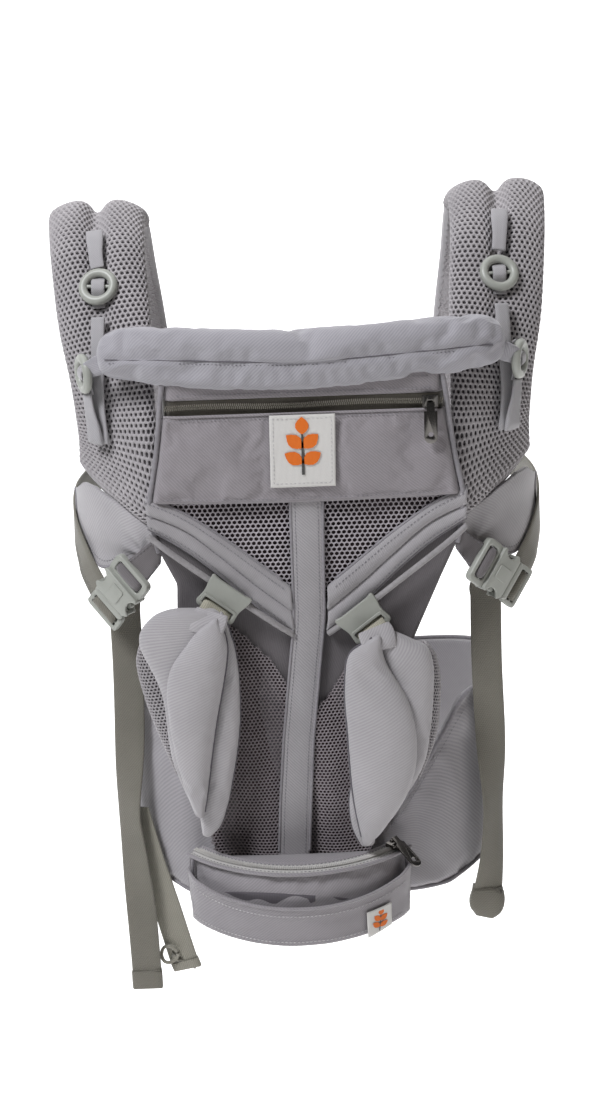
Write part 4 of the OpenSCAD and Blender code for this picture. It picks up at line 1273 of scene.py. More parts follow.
for side, sign in SIDES.items():
    shapes = flap_shapes[side]
    lens, lens_rings = leaf_pad(side + "_flap_pad", *shapes["lens"], flap_twill, side, rows=64, cols=36)
    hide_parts(side + "_leg_flap")
    leaf_pad(side + "_flap_shell", *shapes["shell"], flap_twill, side)
    fold, fold_rings = leaf_pad(side + "_flap_fold", *shapes["fold"], flap_twill, side, cap=3.0)
    edges = {"flap_pad_piping": lens_rings[1:-1:3, 0 if sign < 0 else 18],
             "flap_fold_piping": fold_rings[1:-1:3, 0 if sign < 0 else 16]}
    for part, line in edges.items():
        pipe = cords(f"{side}_{part}", [line], 0.95, dark_thread, None, sides=8)
        hold_flap(pipe)
    left, right, y_mid, thick = shapes["edge"]
    a = leaf_rings(left, right, y_mid, thick, 46, 20)
    for i in range(1, 46, 2):
        a[i] = (a[i] + np.roll(a[i], -1, 0)) / 2
    mesh_edge = lattice_tube(side + "_flap_mesh_edge", a, mesh_yarn)
    run_nodes(mesh_edge, closed_net, Hole=0.6, Rise=0.35 * MM, Depth=0.8 * MM, Thread=mesh_yarn, Shade=mesh_shade)
    hold_flap(mesh_edge)
    top_tab = {"left": [(-76, -149, 190, -8, 26, 3), (-78, -152, 186, -8, 28, 4), (-81, -155.5, 180, -8, 28, 4),
                        (-83, -157, 174, -8, 26, 2)],
               "right": [(49, -149, 172, 8, 26, 3), (51, -152, 168, 8, 28, 4), (53, -155, 162, 8, 27, 4),
                         (54, -155.5, 156, 8, 24, 2)]}[side]
    tab = band_piece(side + "_flap_top_tab", top_tab, flap_twill, None)
    hold_flap(tab)

# ---------------------------------------------------------------- Seat sliders
# Each flap hangs from a moulded clip that slides along the covered rod and stays where it is
# put. A short loop of ribbed webbing passes through the clip's slot.

clip_acetal = moulded_finish("moulded_clip_grey_green", "#93958e", 0.36)
ribbed_webbing = cloth_finish("ribbed_webbing_light", "#aba898", 1.6, 0.6, sheen=0.15, rough=0.7)
RAIL_ANGLE = math.atan2(RAIL_OUT[1] - RAIL_IN[1], RAIL_OUT[0] - RAIL_IN[0])
SLIDE_AT = {"left": 61.0, "right": 28.0}


def on_rail(points, side):
    """Points in the clip's own frame, X along the rod, to their place on that side."""
    q = np.asarray(points, float)
    c, s = math.cos(RAIL_ANGLE), math.sin(RAIL_ANGLE)
    lx = q[..., 0] + SLIDE_AT[side]
    x = RAIL_IN[0] + lx * c - q[..., 2] * s
    z = RAIL_IN[1] + lx * s + q[..., 2] * c
    return np.stack([SIDES[side] * x, RAIL_Y + q[..., 1], z], -1)


def soft_corners(outline, radius, steps=4):
    """An outline with its corners rounded."""
    p = [np.array(v, float) for v in outline]
    made = []
    for i, corner in enumerate(p):
        before, after = p[i - 1] - corner, p[(i + 1) % len(p)] - corner
        r = min(radius, 0.45 * np.linalg.norm(before), 0.45 * np.linalg.norm(after))
        a, b = corner + before / np.linalg.norm(before) * r, corner + after / np.linalg.norm(after) * r
        for t in np.linspace(0, 1, steps + 1):
            made.append(a * (1 - t) ** 2 + corner * 2 * t * (1 - t) + b * t**2)
    return made


def moulded_plate(name, outlines, front, back, bevel, place, material, body):
    """A moulded plate in X and Z between two depths, the first outline its edge and the rest holes."""
    curve = bpy.data.curves.new(name, "CURVE")
    curve.dimensions = "2D"
    curve.fill_mode = "BOTH"
    for outline in outlines:
        line = curve.splines.new("POLY")
        line.points.add(len(outline) - 1)
        line.use_cyclic_u = True
        for point, (px, pz) in zip(line.points, outline):
            point.co = (px, pz, 0, 1)
    curve.extrude = (back - front) / 2 - bevel
    curve.bevel_depth = bevel
    curve.bevel_resolution = 2
    curve.offset = -bevel
    holder = bpy.data.objects.new(name, curve)
    scene.collection.objects.link(holder)
    bpy.context.view_layer.update()
    flat = bpy.data.meshes.new_from_object(holder.evaluated_get(bpy.context.evaluated_depsgraph_get()))
    bpy.data.objects.remove(holder)
    work = bmesh.new()
    work.from_mesh(flat)
    bmesh.ops.remove_doubles(work, verts=work.verts, dist=1e-4)
    verts = np.array([v.co for v in work.verts])
    moved = place(np.stack([verts[:, 0], (front + back) / 2 - verts[:, 2], verts[:, 1]], 1)) * MM
    for v, co in zip(work.verts, moved):
        v.co = co
    bmesh.ops.recalc_face_normals(work, faces=work.faces)
    mesh = bpy.data.meshes.new(name)
    work.to_mesh(mesh)
    work.free()
    bpy.data.meshes.remove(flat)
    mesh.materials.clear()
    mesh.materials.append(material)
    mesh.shade_smooth()
    mesh.set_sharp_from_angle(angle=math.radians(40))
    piece = bpy.data.objects.new(name, mesh)
    scene.collection.objects.link(piece)
    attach(piece, body)
    return piece


clip_outline = soft_corners([(-19, 8), (-13, 6.5), (13, 6.5), (19, 8), (18.4, 1), (16.2, -8), (17.5, -18),
                             (15, -20.5), (-15, -20.5), (-17.5, -18), (-16.2, -8), (-18.4, 1)], 3.0)
clip_slot = soft_corners([(-13.5, -16.4), (13.5, -16.4), (13.5, -10.8), (-13.5, -10.8)], 1.6)
clip_lip = soft_corners([(-16, -19.3), (16, -19.3), (15.4, -8.2), (-15.4, -8.2)], 2.6)
for side in SIDES:
    body = side + "_seat_slider"
    plate = moulded_plate(side + "_clip_plate", [clip_outline, clip_slot], -4.9, -1.6, 0.8,
                          lambda q, side=side: on_rail(q, side), clip_acetal, body)
    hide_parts(side + "_seat_slider")
    moulded_plate(side + "_clip_lip", [clip_lip, clip_slot], -6.1, -4.5, 0.6,
                  lambda q, side=side: on_rail(q, side), clip_acetal, body)
    sleeve_line = on_rail([(t, 0, 0.6) for t in np.linspace(-17, 17, 9)], side)
    sleeve = cords(side + "_clip_sleeve", [sleeve_line], [3.2, 4.3, 4.6] + [4.7] * 3 + [4.6, 4.3, 3.2],
                   clip_acetal, body, steps=1, sides=24)
    route = [(0, -0.8, -9.5), (0, -1.6, -13), (0, -5.6, -15.2), (0, -8.2, -18.5), (0, -8.4, -23), (0, -7.6, -31)]
    middle = on_rail(route, side)
    edge = on_rail([(1, y, z) for _, y, z in route], side)
    slant = (edge - middle)[0]
    rows = resample(spline([(*m, 0, web_size, 2.2) for m, web_size in zip(middle, [25] * 6)], 8), 76)
    run = np.linspace(0, 1, 76)
    d = np.gradient(rows[:, :3], axis=0)
    d /= np.linalg.norm(d, axis=1, keepdims=True)
    out_way = np.cross(d, slant)
    out_way *= np.sign(out_way[:, 1:2].sum()) * -1
    rib = 1.1 + 0.3 * np.cos(2 * np.pi * np.arange(76) / 4)
    a = np.array([-12.5, -12.2, -6, 0, 6, 12.2, 12.5, 12.2, 6, 0, -6, -12.2])
    b = np.array([0, 1, 1, 1, 1, 1, 0, -1, -1, -1, -1, -1.0])
    rings = rows[:, None, :3] + slant * a[None, :, None] + out_way[:, None] * (rib[:, None] * b)[..., None]
    loop = shell_piece(side + "_clip_webbing", rings, ribbed_webbing, body)
    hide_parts(side + "_slider_webbing")

# ---------------------------------------------------------------- Side-release buckles
# Moulded acetal buckles join the panel's sides to the underarm webbing: a slotted frame and box
# sewn to a tab on the panel, and a pronged insert that carries the adjustable webbing.

webbing = cloth_finish("woven_nylon_webbing", "#77746a", 1.7, 0.7, angle=0.6, sheen=0.2, rough=0.65)
LEFT_BUCKLE, RIGHT_BUCKLE = (-148, -116, 201), (147, -116, 205)
BUCKLE_YAW = math.radians(35)
MIRROR_X = Matrix.Diagonal((-1, 1, 1, 1))


def buckle_place(at, tilt, mirror):
    """A buckle's own frame, X out of its mouth and its front towards -Y, in its place."""
    at = (-at[0], at[1], at[2]) if mirror else at
    turn = Matrix.Rotation(BUCKLE_YAW, 4, "Z") @ Matrix.Rotation(math.radians(tilt), 4, "Y")
    place = Matrix.Translation(at) @ turn
    return np.array(MIRROR_X @ place if mirror else place)


def placed(matrix):
    """A function that puts points in a buckle's frame in their place."""
    return lambda q: np.asarray(q, float) @ matrix[:3, :3].T + matrix[:3, 3]


WAIST_BUCKLE = np.array(Matrix.Translation((0, 119, 8)) @ Matrix.Diagonal((1, -1, 1, 1)))
CROSS_BUCKLE = np.array(Matrix.Translation((0, 117, 330)) @ Matrix.Scale(0.72, 4) @ Matrix.Diagonal((1, -1, 1, 1)))
BUCKLES = {"left": (buckle_place(LEFT_BUCKLE, 50, True), "carrier", "left_buckle_insert"),
           "right": (buckle_place(RIGHT_BUCKLE, 40, False), "carrier", "right_buckle_insert"),
           "waist": (WAIST_BUCKLE, "carrier", "waist_buckle_insert"),
           "cross": (CROSS_BUCKLE, "cross_strap", "cross_buckle_insert")}


def arc_points(cx, cz, r, start, end, steps):
    return [(cx + r * math.cos(math.radians(a)), cz + r * math.sin(math.radians(a)))
            for a in np.linspace(start, end, steps)]


box_edge = soft_corners([(-6, -18.2), (-1, -19), (-1, 19), (-6, 18.2)], 1.5)
window = arc_points(4, 21, 7.4, 195, 345, 9)
box_face = ([(-6, -17), (-5, -19)] + [(x, -z) for x, z in window] + [(13, -19), (16, -15.5), (16, 15.5), (13, 19)]
            + [*reversed(window)] + [(-5, 19), (-6, 17)])
frame_edge = soft_corners([(-23, -19), (-4, -19), (-4, 19), (-23, 19)], 5.5, 6)
frame_slot = soft_corners([(-19, -13.8), (-8.6, -13.8), (-8.6, 13.8), (-19, 13.8)], 2.4)
centre_plate = soft_corners([(-2, -6), (12, -6), (12, 6), (-2, 6)], 1.6)
grip_edge = soft_corners([(16.6, -17.5), (22.8, -15), (22.8, 15), (16.6, 17.5)], 2.0)
end_edge = soft_corners([(21, -16), (24, -17.5), (36, -17.5), (37, -14),
                         (37, 14), (36, 17.5), (24, 17.5), (21, 16)], 2.0)
end_slots = [soft_corners([(a, -13.6), (a + 3, -13.6), (a + 3, 13.6), (a, 13.6)], 1.0) for a in (25, 30)]

for name, (matrix, holder_body, insert_body) in BUCKLES.items():
    put = placed(matrix)
    plates = [("frame_plate", [frame_edge, frame_slot], -3.0, 3.0, 1.2, holder_body),
              ("box_front", [box_face], -6.0, -3.6, 0.8, holder_body),
              ("box_back", [box_face], 3.6, 6.0, 0.8, holder_body),
              ("box_bridge", [box_edge], -4.2, 4.2, 0.5, holder_body),
              ("box_badge_plate", [centre_plate], -6.9, -5.6, 0.5, holder_body),
              ("insert_grip", [grip_edge], -5.2, 5.2, 1.4, insert_body),
              ("insert_end", [end_edge, *end_slots], -2.6, 2.6, 0.9, insert_body)]
    made = {part: moulded_plate(f"{name}_buckle_{part}", outlines, front, back, bevel, put, acetal, body)
            for part, outlines, front, back, bevel, body in plates}
    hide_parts(name + "_buckle_frame")
    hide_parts(name + "_buckle_insert")
    tongue = soft_corners([(0, -4), (17, -4), (17, 4), (0, 4)], 1.2)
    moulded_plate(name + "_buckle_tongue", [tongue], -2.4, 2.4, 0.6, put, acetal, insert_body)
    walls = [[(-5, k * 15.8), (-1.5, k * 15.8), (-1.5, k * 18.6), (-5, k * 18.6)] for k in (-1, 1)]
    walls += [[(11, k * 15.4), (15.6, k * 15.2), (14, k * 18.2), (11, k * 18.6)] for k in (-1, 1)]
    for number, wall in enumerate(walls):
        moulded_plate(f"{name}_buckle_wall_{number + 1}", [wall], -4.4, 4.4, 0.4, put, acetal, holder_body)
    for end in ("upper", "lower"):
        k = 1 if end == "upper" else -1
        barb = soft_corners([(2, k * 7.8), (7, k * 7.6), (17, k * 8), (17, k * 11.4), (8.5, k * 12),
                             (7.6, k * 16.6), (4.2, k * 16.8), (2, k * 13)], 1.4)
        scale_body = f"{name}_prong_{end}"
        prong = moulded_plate(scale_body + "_barb", [barb], -2.3, 2.3, 0.6, put, acetal, scale_body)
        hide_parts(scale_body)

# ---------------------------------------------------------------- Tabs, underarm webbing and tails
# A dark tab holds each side buckle's frame, rolled once round its bar. Webbing runs from the
# back of the pad under the arm to the insert, and its loose end hangs down in front.

tab_cloth = cloth_finish("buckle_tab_cloth", "#6f6b6c", 1.4, 0.4)
for side, sign in SIDES.items():
    put = placed(BUCKLES[side][0])
    roll_line = put([(-13.8, -0.6, t) for t in np.linspace(-12.8, 12.8, 9)])
    roll = cords(side + "_buckle_roll", [roll_line], [3.6, 4.7, 4.9, 5, 5, 5, 4.9, 4.7, 3.6], tab_cloth, "carrier",
                 steps=1, sides=20)
    ends = put([(-13.8, -0.8, 12), (-13.8, -0.8, -12)])
    tab_z = np.array([250.0, 222.0] if side == "left" else [252.0, 226.0])
    rest = round_side(np.array([112.0, 116.0]), tab_z, sign, 1.5)
    t = np.linspace(0, 1, 24)[:, None, None]
    v = np.linspace(0, 1, 14)[None, :, None]
    inner = rest[0] * (1 - v) + rest[1] * v
    outer = ends[0] * (1 - v) + ends[1] * v
    p = inner * (1 - t) + outer * t
    p[:, :, 1] -= 2.5 * np.sin(np.pi * t[:, :, 0]) + 0.7 * np.sin(np.pi * t[:, :, 0]) * np.cos(6 * v[:, :, 0])
    tab = cloth_piece(side + "_buckle_tab", p, tab_cloth, "carrier", 2.2)
    stitches(side + "_buckle_tab_stitching", [p[::3, 1] - (0, 0.5, 0), p[::3, -2] - (0, 0.5, 0)], "carrier")

underarm_path = [(141, 118.6, 246, 84, 2, 25), (158, 111, 240, 58, 2, 25), (178, 84, 238, 32, 2, 25),
                 (189, 40, 240, 10, 2, 25), (192.8, -10, 240, 0, 2, 25), (190.6, -46, 230, -16, 2, 25),
                 (182.5, -72, 213, -34, 2, 25)]
for side, sign in SIDES.items():
    put = placed(BUCKLES[side][0])
    finish_at = put([(27.5, 2.0, 0)])[0]
    half_way = (finish_at + np.array([182.5 * sign, -72, 213])) / 2
    route = underarm_path if sign > 0 else mirrored(underarm_path)
    route = [*route, (*(half_way + (3 * sign, 4, 2)), -44 * sign, 2, 25), (*finish_at, -52 * sign, 2, 24)]
    strap = band_piece(side + "_underarm_strap", route, webbing, None, 8, rib=0.12)
    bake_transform(strap)
    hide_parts(side + "_underarm_webbing")
    wrap = []
    for angle in np.linspace(-70, 250, 15):
        a = math.radians(angle)
        wrap.append((28.9 + 3.4 * math.sin(a), -3.4 * math.cos(a), 0))
    centre = put(wrap)
    zway = BUCKLES[side][0][:3, 2]
    rows = spline([(*c, 0, 0, 0) for c in centre], 3)[:, :3]
    d = np.gradient(rows, axis=0)
    d /= np.linalg.norm(d, axis=1, keepdims=True)
    lift = np.cross(d, zway)
    a = np.array([-12.5, -12.3, -6, 0, 6, 12.3, 12.5, 12.3, 6, 0, -6, -12.3])
    b = np.array([0, 1, 1, 1, 1, 1, 0, -1, -1, -1, -1, -1.0])
    rib = 0.95 + 0.14 * np.cos(2 * np.pi * np.arange(len(rows)) / 3)
    rings = rows[:, None] + zway * a[None, :, None] + lift[:, None] * (rib[:, None] * b)[..., None]
    wrapped = shell_piece(side + "_insert_webbing_wrap", rings, webbing, side + "_buckle_insert")

left_tail_path = [(-151, -84, 176, 0, 25, 2), (-151, -89, 120, 0, 25, 2), (-153, -96, 60, -8, 25, 2),
                  (-157, -100, 0, -40, 25, 2), (-155, -104, -40, -30, 25, 2), (-152, -107, -100, -4, 25, 2),
                  (-151, -108, -150, 0, 25, 2), (-151, -108.4, -154, 0, 26, 4.6), (-151, -108.6, -168, 0, 26, 4.8),
                  (-151, -108.6, -170, 0, 25, 3)]
left_strand_path = [(-150, -94, -4, -34, 22, 1.8), (-141, -99, -50, -28, 25, 1.8), (-130, -101, -100, -14, 25, 1.8),
                    (-120, -100, -146, -10, 25, 1.8), (-119, -100, -149, -10, 25.6, 4),
                    (-116.5, -100, -157, -10, 25.6, 4)]
right_tail_path = [(143, -86, 180, 0, 25, 2), (143, -93, 120, 0, 25, 2), (145, -101, 60, 6, 25, 2),
                   (147, -105, 0, 44, 25, 2), (146, -106, -50, 36, 25, 2), (143, -104, -86, 12, 25, 2),
                   (142.6, -104, -88, 10, 27, 6), (142, -104.5, -97, 4, 30, 8), (141, -105, -106, 0, 27, 7),
                   (139.5, -105, -113, -4, 15, 4.5)]
light_webbing = cloth_finish("woven_nylon_webbing_light", "#8e8b7f", 1.7, 0.7, angle=0.6, rough=0.65)
tails = {"left_webbing_tail_cloth": (left_tail_path, webbing, "left_webbing_tail", 0.36),
         "left_second_strand": (left_strand_path, light_webbing, "left_webbing_tail", 0.165),
         "right_webbing_tail_cloth": (right_tail_path, webbing, "right_webbing_tail", 0.3)}
for name, (path, material, body, length) in tails.items():
    tail = band_piece(name, path, material, body, 8, rib=0.1)
    if name != "left_second_strand":
        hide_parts(body)
    edges = band_edges(path, 2.4, 8)
    across = [np.linspace(edges[0][k], edges[1][k], 5) for k in (-13, -4)]
    stitches(name + "_stitching", across, body, light_thread, 1.9, 0.9, steps=3)
for side, sign in SIDES.items():
    put = placed(BUCKLES[side][0])
    start = put([(33.5, 3.4, 0)])[0]
    first = left_tail_path[0] if sign < 0 else right_tail_path[0]
    route = [(*start, -30 * sign, 24, 2), ((start[0] + first[0]) / 2, (start[1] + first[1]) / 2 + 3,
              (start[2] + first[2]) / 2 + 6, -14 * sign, 25, 2), (first[0], first[1], first[2] + 1, 0, 25, 2),
             (first[0], first[1] - 0.6, first[2] - 6, 0, 25, 2)]
    turn_over = band_piece(side + "_tail_turn", route, webbing, side + "_buckle_insert", 8, rib=0.1)
keeper_ring = [(-131 + 7 * math.cos(a), -103 - 1.5 * math.sin(2 * a), -141 + 8 * math.sin(a))
               for a in np.linspace(0.4, 2 * math.pi + 0.2, 20)]
keeper = cords("left_tail_elastic_loop", [keeper_ring], 1.5, light_webbing, "left_webbing_tail", sides=8)

# ---------------------------------------------------------------- Waist belt
# Two padded wings run round the hips from the front of the panel to the back. They are plain
# twill over foam with a welted upper edge, and crease where they bend.

BELT_HALF, BELT_CORNER, BELT_FRONT, BELT_BACK, BELT_T = 165.0, 95.0, -118.0, 110.0, 12.0
belt_twill = cloth_finish("belt_twill", "#9f9c9f", 1.9, 0.45, angle=0.8, sheen=0.3)


def belt_line(count, start_x=4.0, end_x=80.0):
    """The outer line of a wing in plan, from the front to the back, with its outward direction."""
    core_x = BELT_HALF - BELT_CORNER
    points = [(start_x, BELT_FRONT), (core_x, BELT_FRONT)]
    for a in np.linspace(-90, 0, 16)[1:]:
        points.append((core_x + BELT_CORNER * math.cos(math.radians(a)),
                       BELT_FRONT + BELT_CORNER + BELT_CORNER * math.sin(math.radians(a))))
    for a in np.linspace(0, 90, 16):
        points.append((core_x + BELT_CORNER * math.cos(math.radians(a)),
                       BELT_BACK - BELT_CORNER + BELT_CORNER * math.sin(math.radians(a))))
    points.append((end_x, BELT_BACK))
    dense = np.array([(x, y, 0) for x, y in points])
    line = resample(dense, count)
    d = np.gradient(line, axis=0)
    d /= np.linalg.norm(d, axis=1, keepdims=True)
    return line, np.stack([d[:, 1], -d[:, 0], 0 * d[:, 0]], 1)


belt_upper = [(0, -36), (60, -14), (86, 27), (105, 58), (124, 89), (136, 93), (150, 88), (164, 76), (175, 76)]
belt_lower = [(0, -72), (60, -78), (110, -76), (146, -62), (175, -60)]
BELT_ROWS, BELT_COLS = 130, 44
for side, sign in SIDES.items():
    line, outward = belt_line(BELT_ROWS)
    top = np.interp(line[:, 0], *np.array(belt_upper, float).T)
    low = np.interp(line[:, 0], *np.array(belt_lower, float).T)
    behind = np.clip((line[:, 1] - 20) / 90, 0, 1)
    top = np.where(line[:, 1] > -23, 78 - 20 * behind**2, top)
    low = np.where(line[:, 1] > -23, -60 + 14 * behind**2, low)
    middle_z, half = (top + low) / 2, (top - low) / 2
    turn = np.linspace(0, 2 * np.pi, BELT_COLS, endpoint=False)
    c, s = np.cos(turn), np.sin(turn)
    a = np.sign(c) * np.abs(c) ** 0.5
    b = np.sign(s) * np.abs(s) ** 0.45
    ends = np.ones(BELT_ROWS)
    ends[-4:] = (0.95, 0.85, 0.7, 0.4)
    rings = line[:, None] - outward[:, None] * (BELT_T / 2)
    rings = rings + outward[:, None] * (b[None, :, None] * BELT_T / 2 * ends[:, None, None])
    rings[:, :, 2] = middle_z[:, None] + half[:, None] * a[None, :]
    run = np.linspace(0, 1, BELT_ROWS)[:, None]
    folds = 1.5 * roughly(run * 420 + sign * 60 + 0 * rings[:, :, 2], rings[:, :, 2] * 0.7, 38, 4.0)
    folds = folds + 0.8 * roughly(run * 420 + rings[:, :, 2] * 0.8, rings[:, :, 2] - run * 120, 17, 9.0 + sign)
    rings += outward[:, None] * (folds * (b[None] > 0) * (1 - np.abs(a[None]) ** 6))[..., None]
    narrow = lambda x: np.where(x > 150, 150 + (x - 150) * 0.55, x)
    rings[:, :, 0] = narrow(rings[:, :, 0]) * sign
    wing = shell_piece(side + "_belt_wing", rings, belt_twill, "carrier")
    grid = np.arange(BELT_ROWS * BELT_COLS).reshape(BELT_ROWS, BELT_COLS)
    inward_cols = np.where(b <= 0.05)[0]
    edge_cols = [0, 1, BELT_COLS - 1, BELT_COLS // 2, BELT_COLS // 2 - 1, BELT_COLS // 2 + 1]
    fill_out(wing, np.r_[grid[:, inward_cols].ravel(), grid[:, edge_cols].ravel(), grid[0], grid[-1]],
             1.6, 0.03, 3.0, frames=14)
    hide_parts("waist_belt_" + side)
    mirror_x = np.array([sign, 1, 1])
    welt_lines = []
    for height, lift in ((top, 0.8), (low, -0.8)):
        welt = line - outward * 2.5
        welt[:, 2] = height + lift
        welt[:, 0] = narrow(welt[:, 0])
        welt_lines.append((welt * mirror_x)[1:-2:3])
    welts = cords(side + "_belt_welts", welt_lines, 2.0, edge_cord, "carrier", sides=10)
    sewn = line + outward * 0.7
    sewn[:, 2] = top - 7
    sewn[:, 0] = narrow(sewn[:, 0])
    stitches(side + "_belt_stitching", [(sewn * mirror_x)[4:-4:4]], "carrier")

# ---------------------------------------------------------------- Lumbar pad and waist buckle
# A foam pad covered in spacer mesh sits at the small of the back. In front of it the wings are
# joined by webbing and a side-release buckle.

LUMBAR_Z = 8.0
pad_edge = soft_corners([(-76, -58), (76, -58), (76, 58), (-76, 58)], 24, 8)
edge = resample(np.array([(x, 0, z) for x, z in [*pad_edge, pad_edge[0]]]), 97)[:-1]
rings = []
for k, depth in ((0.03, 0), (0.2, 0), (0.4, 0), (0.6, 0), (0.8, 0.3), (0.93, 1.2), (1.0, 4.5),
                 (1.0, 7.5), (0.95, 10.6), (0.85, 11.8), (0.6, 12.4), (0.4, 12.4), (0.2, 12.4), (0.03, 12.4)):
    ring = edge * k
    ring[:, 1] = BELT_BACK - 12 + depth
    ring[:, 2] += LUMBAR_Z
    rings.append(ring)
lumbar = shell_piece("lumbar_support_pad", np.array(rings), mesh_yarn, "carrier")
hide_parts("lumbar_pad")
round_off(lumbar)
for face_name, face_y, out_way in (("inner", BELT_BACK - 12.6, -1), ("outer", BELT_BACK + 0.9, 1)):
    net_outline = [(x * 0.9, z * 0.9 + LUMBAR_Z) for x, z in pad_edge]
    pitch = 4.4
    verts, index = [], {}
    for j in range(28):
        for i in range(34):
            px, pz = -72 + (i + 0.5 * (j % 2)) * pitch, -50 + j * pitch * 0.866 + LUMBAR_Z
            if inside(px, pz, net_outline):
                index[i, j] = len(verts)
                crown = 1.2 * (1 - (px / 76) ** 2) * (1 - ((pz - LUMBAR_Z) / 58) ** 2)
                verts.append((px, face_y + out_way * crown, pz))
    faces = []
    for i, j in index:
        a, b = (i, j + 1), (i + 1, j + 1)
        trios = [((i, j), (i + 1, j), a), ((i + 1, j), b, a)] if j % 2 == 0 else [
            ((i, j), (i + 1, j), b), ((i, j), b, a)]
        faces += [[index[t] for t in trio] for trio in trios if all(t in index for t in trio)]
    knit = show("lumbar_mesh_" + face_name, verts, faces, mesh_yarn, None)
    if knit.data.polygons[0].normal.y * out_way < 0:
        knit.data.flip_normals()
    run_nodes(knit, closed_net, Hole=0.6, Rise=0.4 * MM, Depth=0.8 * MM, Thread=mesh_yarn, Shade=mesh_shade)
    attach(knit, "carrier")
lumbar_line = [(x, BELT_BACK - 6, z + LUMBAR_Z) for x, z in [*pad_edge[::2], pad_edge[0]]]
lumbar_seam = cords("lumbar_piping", [lumbar_line], 1.8, edge_cord, "carrier", sides=10)

loop_path = [(-112, 111.5, LUMBAR_Z, 0, 25, 3), (-100, 115.5, LUMBAR_Z, 0, 25, 2), (-60, 117.2, LUMBAR_Z, 0, 25, 2),
             (-30, 118, LUMBAR_Z, 0, 25, 2), (-23.5, 120.5, LUMBAR_Z, 0, 25, 2), (-20.4, 122.6, LUMBAR_Z, 0, 25, 2),
             (-17, 120, LUMBAR_Z, 0, 25, 2)]


def level_band(name, path, material, body, steps=8, rib=0.12):
    """Webbing on edge round the waist: its width stands upright."""
    st = spline(path, steps)
    if rib:
        run = np.linalg.norm(np.diff(st[:, :3], axis=0), axis=1).sum()
        st = resample(st, int(run / 1.6 * 4) + 2)
    p = st[:, :3]
    d = np.gradient(p, axis=0)
    d /= np.linalg.norm(d, axis=1, keepdims=True)
    up = np.array([0.0, 0, 1])
    out_way = np.cross(d, up)
    out_way /= np.linalg.norm(out_way, axis=1, keepdims=True)
    run = np.r_[0, np.cumsum(np.linalg.norm(np.diff(p, axis=0), axis=1))]
    half = st[:, 5] / 2 + rib * np.cos(2 * np.pi * run / 1.6)
    a = np.array([-1, -0.98, -0.5, 0, 0.5, 0.98, 1, 0.98, 0.5, 0, -0.5, -0.98])
    b = np.array([0, 1, 1, 1, 1, 1, 0, -1, -1, -1, -1, -1.0])
    rings = p[:, None] + up * (st[:, 4:5] / 2 * a)[..., None] + out_way[:, None] * (half[:, None] * b)[..., None]
    return shell_piece(name, rings, material, body)


waist_band = level_band("waist_loop_webbing", loop_path, webbing, "carrier")
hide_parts("waist_loop")
insert_path = [(27, 119, LUMBAR_Z, 0, 25, 2), (30, 116, LUMBAR_Z, 0, 25, 2), (36, 115.4, LUMBAR_Z, 0, 25, 2),
               (60, 116, LUMBAR_Z, 0, 25, 2), (92, 116, LUMBAR_Z, 0, 25, 2), (104, 114.5, LUMBAR_Z, 0, 25, 2.6),
               (114, 111, LUMBAR_Z, 0, 25, 3.4)]
waist_strap = level_band("waist_adjust_webbing", insert_path, webbing, None)
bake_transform(waist_strap)
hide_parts("waist_webbing")

# ---------------------------------------------------------------- Cross strap
# A narrower strap joins the pads across the back. It slides up and down on a clip at each pad
# and closes with a small buckle.

CROSS_Y, CROSS_Z = 117.0, 330.0
left_part = [(-152, CROSS_Y, CROSS_Z, 0, 18, 2), (-80, CROSS_Y + 0.8, CROSS_Z - 1.5, 0, 18, 2),
             (-24, CROSS_Y, CROSS_Z, 0, 18, 2), (-17, CROSS_Y + 1.6, CROSS_Z, 0, 18, 1.8),
             (-14.5, CROSS_Y + 2.8, CROSS_Z, 0, 18, 1.8), (-12, CROSS_Y + 0.5, CROSS_Z, 0, 18, 1.8)]
right_part = [(24, CROSS_Y + 2.4, CROSS_Z, 0, 18, 1.8), (28, CROSS_Y + 2.2, CROSS_Z, 0, 18, 1.8),
              (60, CROSS_Y + 0.4, CROSS_Z, 0, 18, 2), (152, CROSS_Y, CROSS_Z, 0, 18, 2)]
cross_left = level_band("cross_strap_left", left_part, webbing, "cross_strap")
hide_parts("cross_strap")
cross_right = level_band("cross_strap_right", right_part, webbing, None)
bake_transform(cross_right)
clip_edge = soft_corners([(-13, -13), (13, -13), (13, 13), (-13, 13)], 4.0)
clip_slots = [soft_corners([(k - 1.6, -9.6), (k + 1.6, -9.6), (k + 1.6, 9.6), (k - 1.6, 9.6)], 1.0) for k in (-6, 6)]
for side, sign in SIDES.items():
    shift = np.array([sign * 146, CROSS_Y, CROSS_Z])
    moulded_plate(side + "_cross_clip", [clip_edge, *clip_slots], -2.5, 2.5, 0.9,
                  lambda q, shift=shift: q + shift, acetal, "cross_strap")

# ---------------------------------------------------------------- Waist pouch
# A small curved pouch in front of the belt. It opens with a pale coil zip round its top and has
# an open pocket with a stitched hem across its front, piped side seams and a little tag.

POUCH_X, POUCH_Y, POUCH_R = -16.0, -60.0, 116.0
POUCH_BACK, POUCH_TOP, POUCH_LOW = -131.0, -28.0, -90.0
pouch_twill = cloth_finish("pouch_twill", "#959194", 1.9, 0.5, angle=0.8, sheen=0.25)
# Painted shade: a dark cloth colour for the sheet that stands in for the shadow inside the front pocket's opening.
pocket_shade_finish = cloth_finish("pouch_pocket_painted_shade_cloth", "#5c585d", 1.4, 0.4)


def pouch_arc(angle, radius):
    """A point of the pouch's rounded front in plan; angle 0 faces forward."""
    a = math.radians(angle)
    return POUCH_X + radius * math.sin(a), POUCH_Y - radius * math.cos(a)


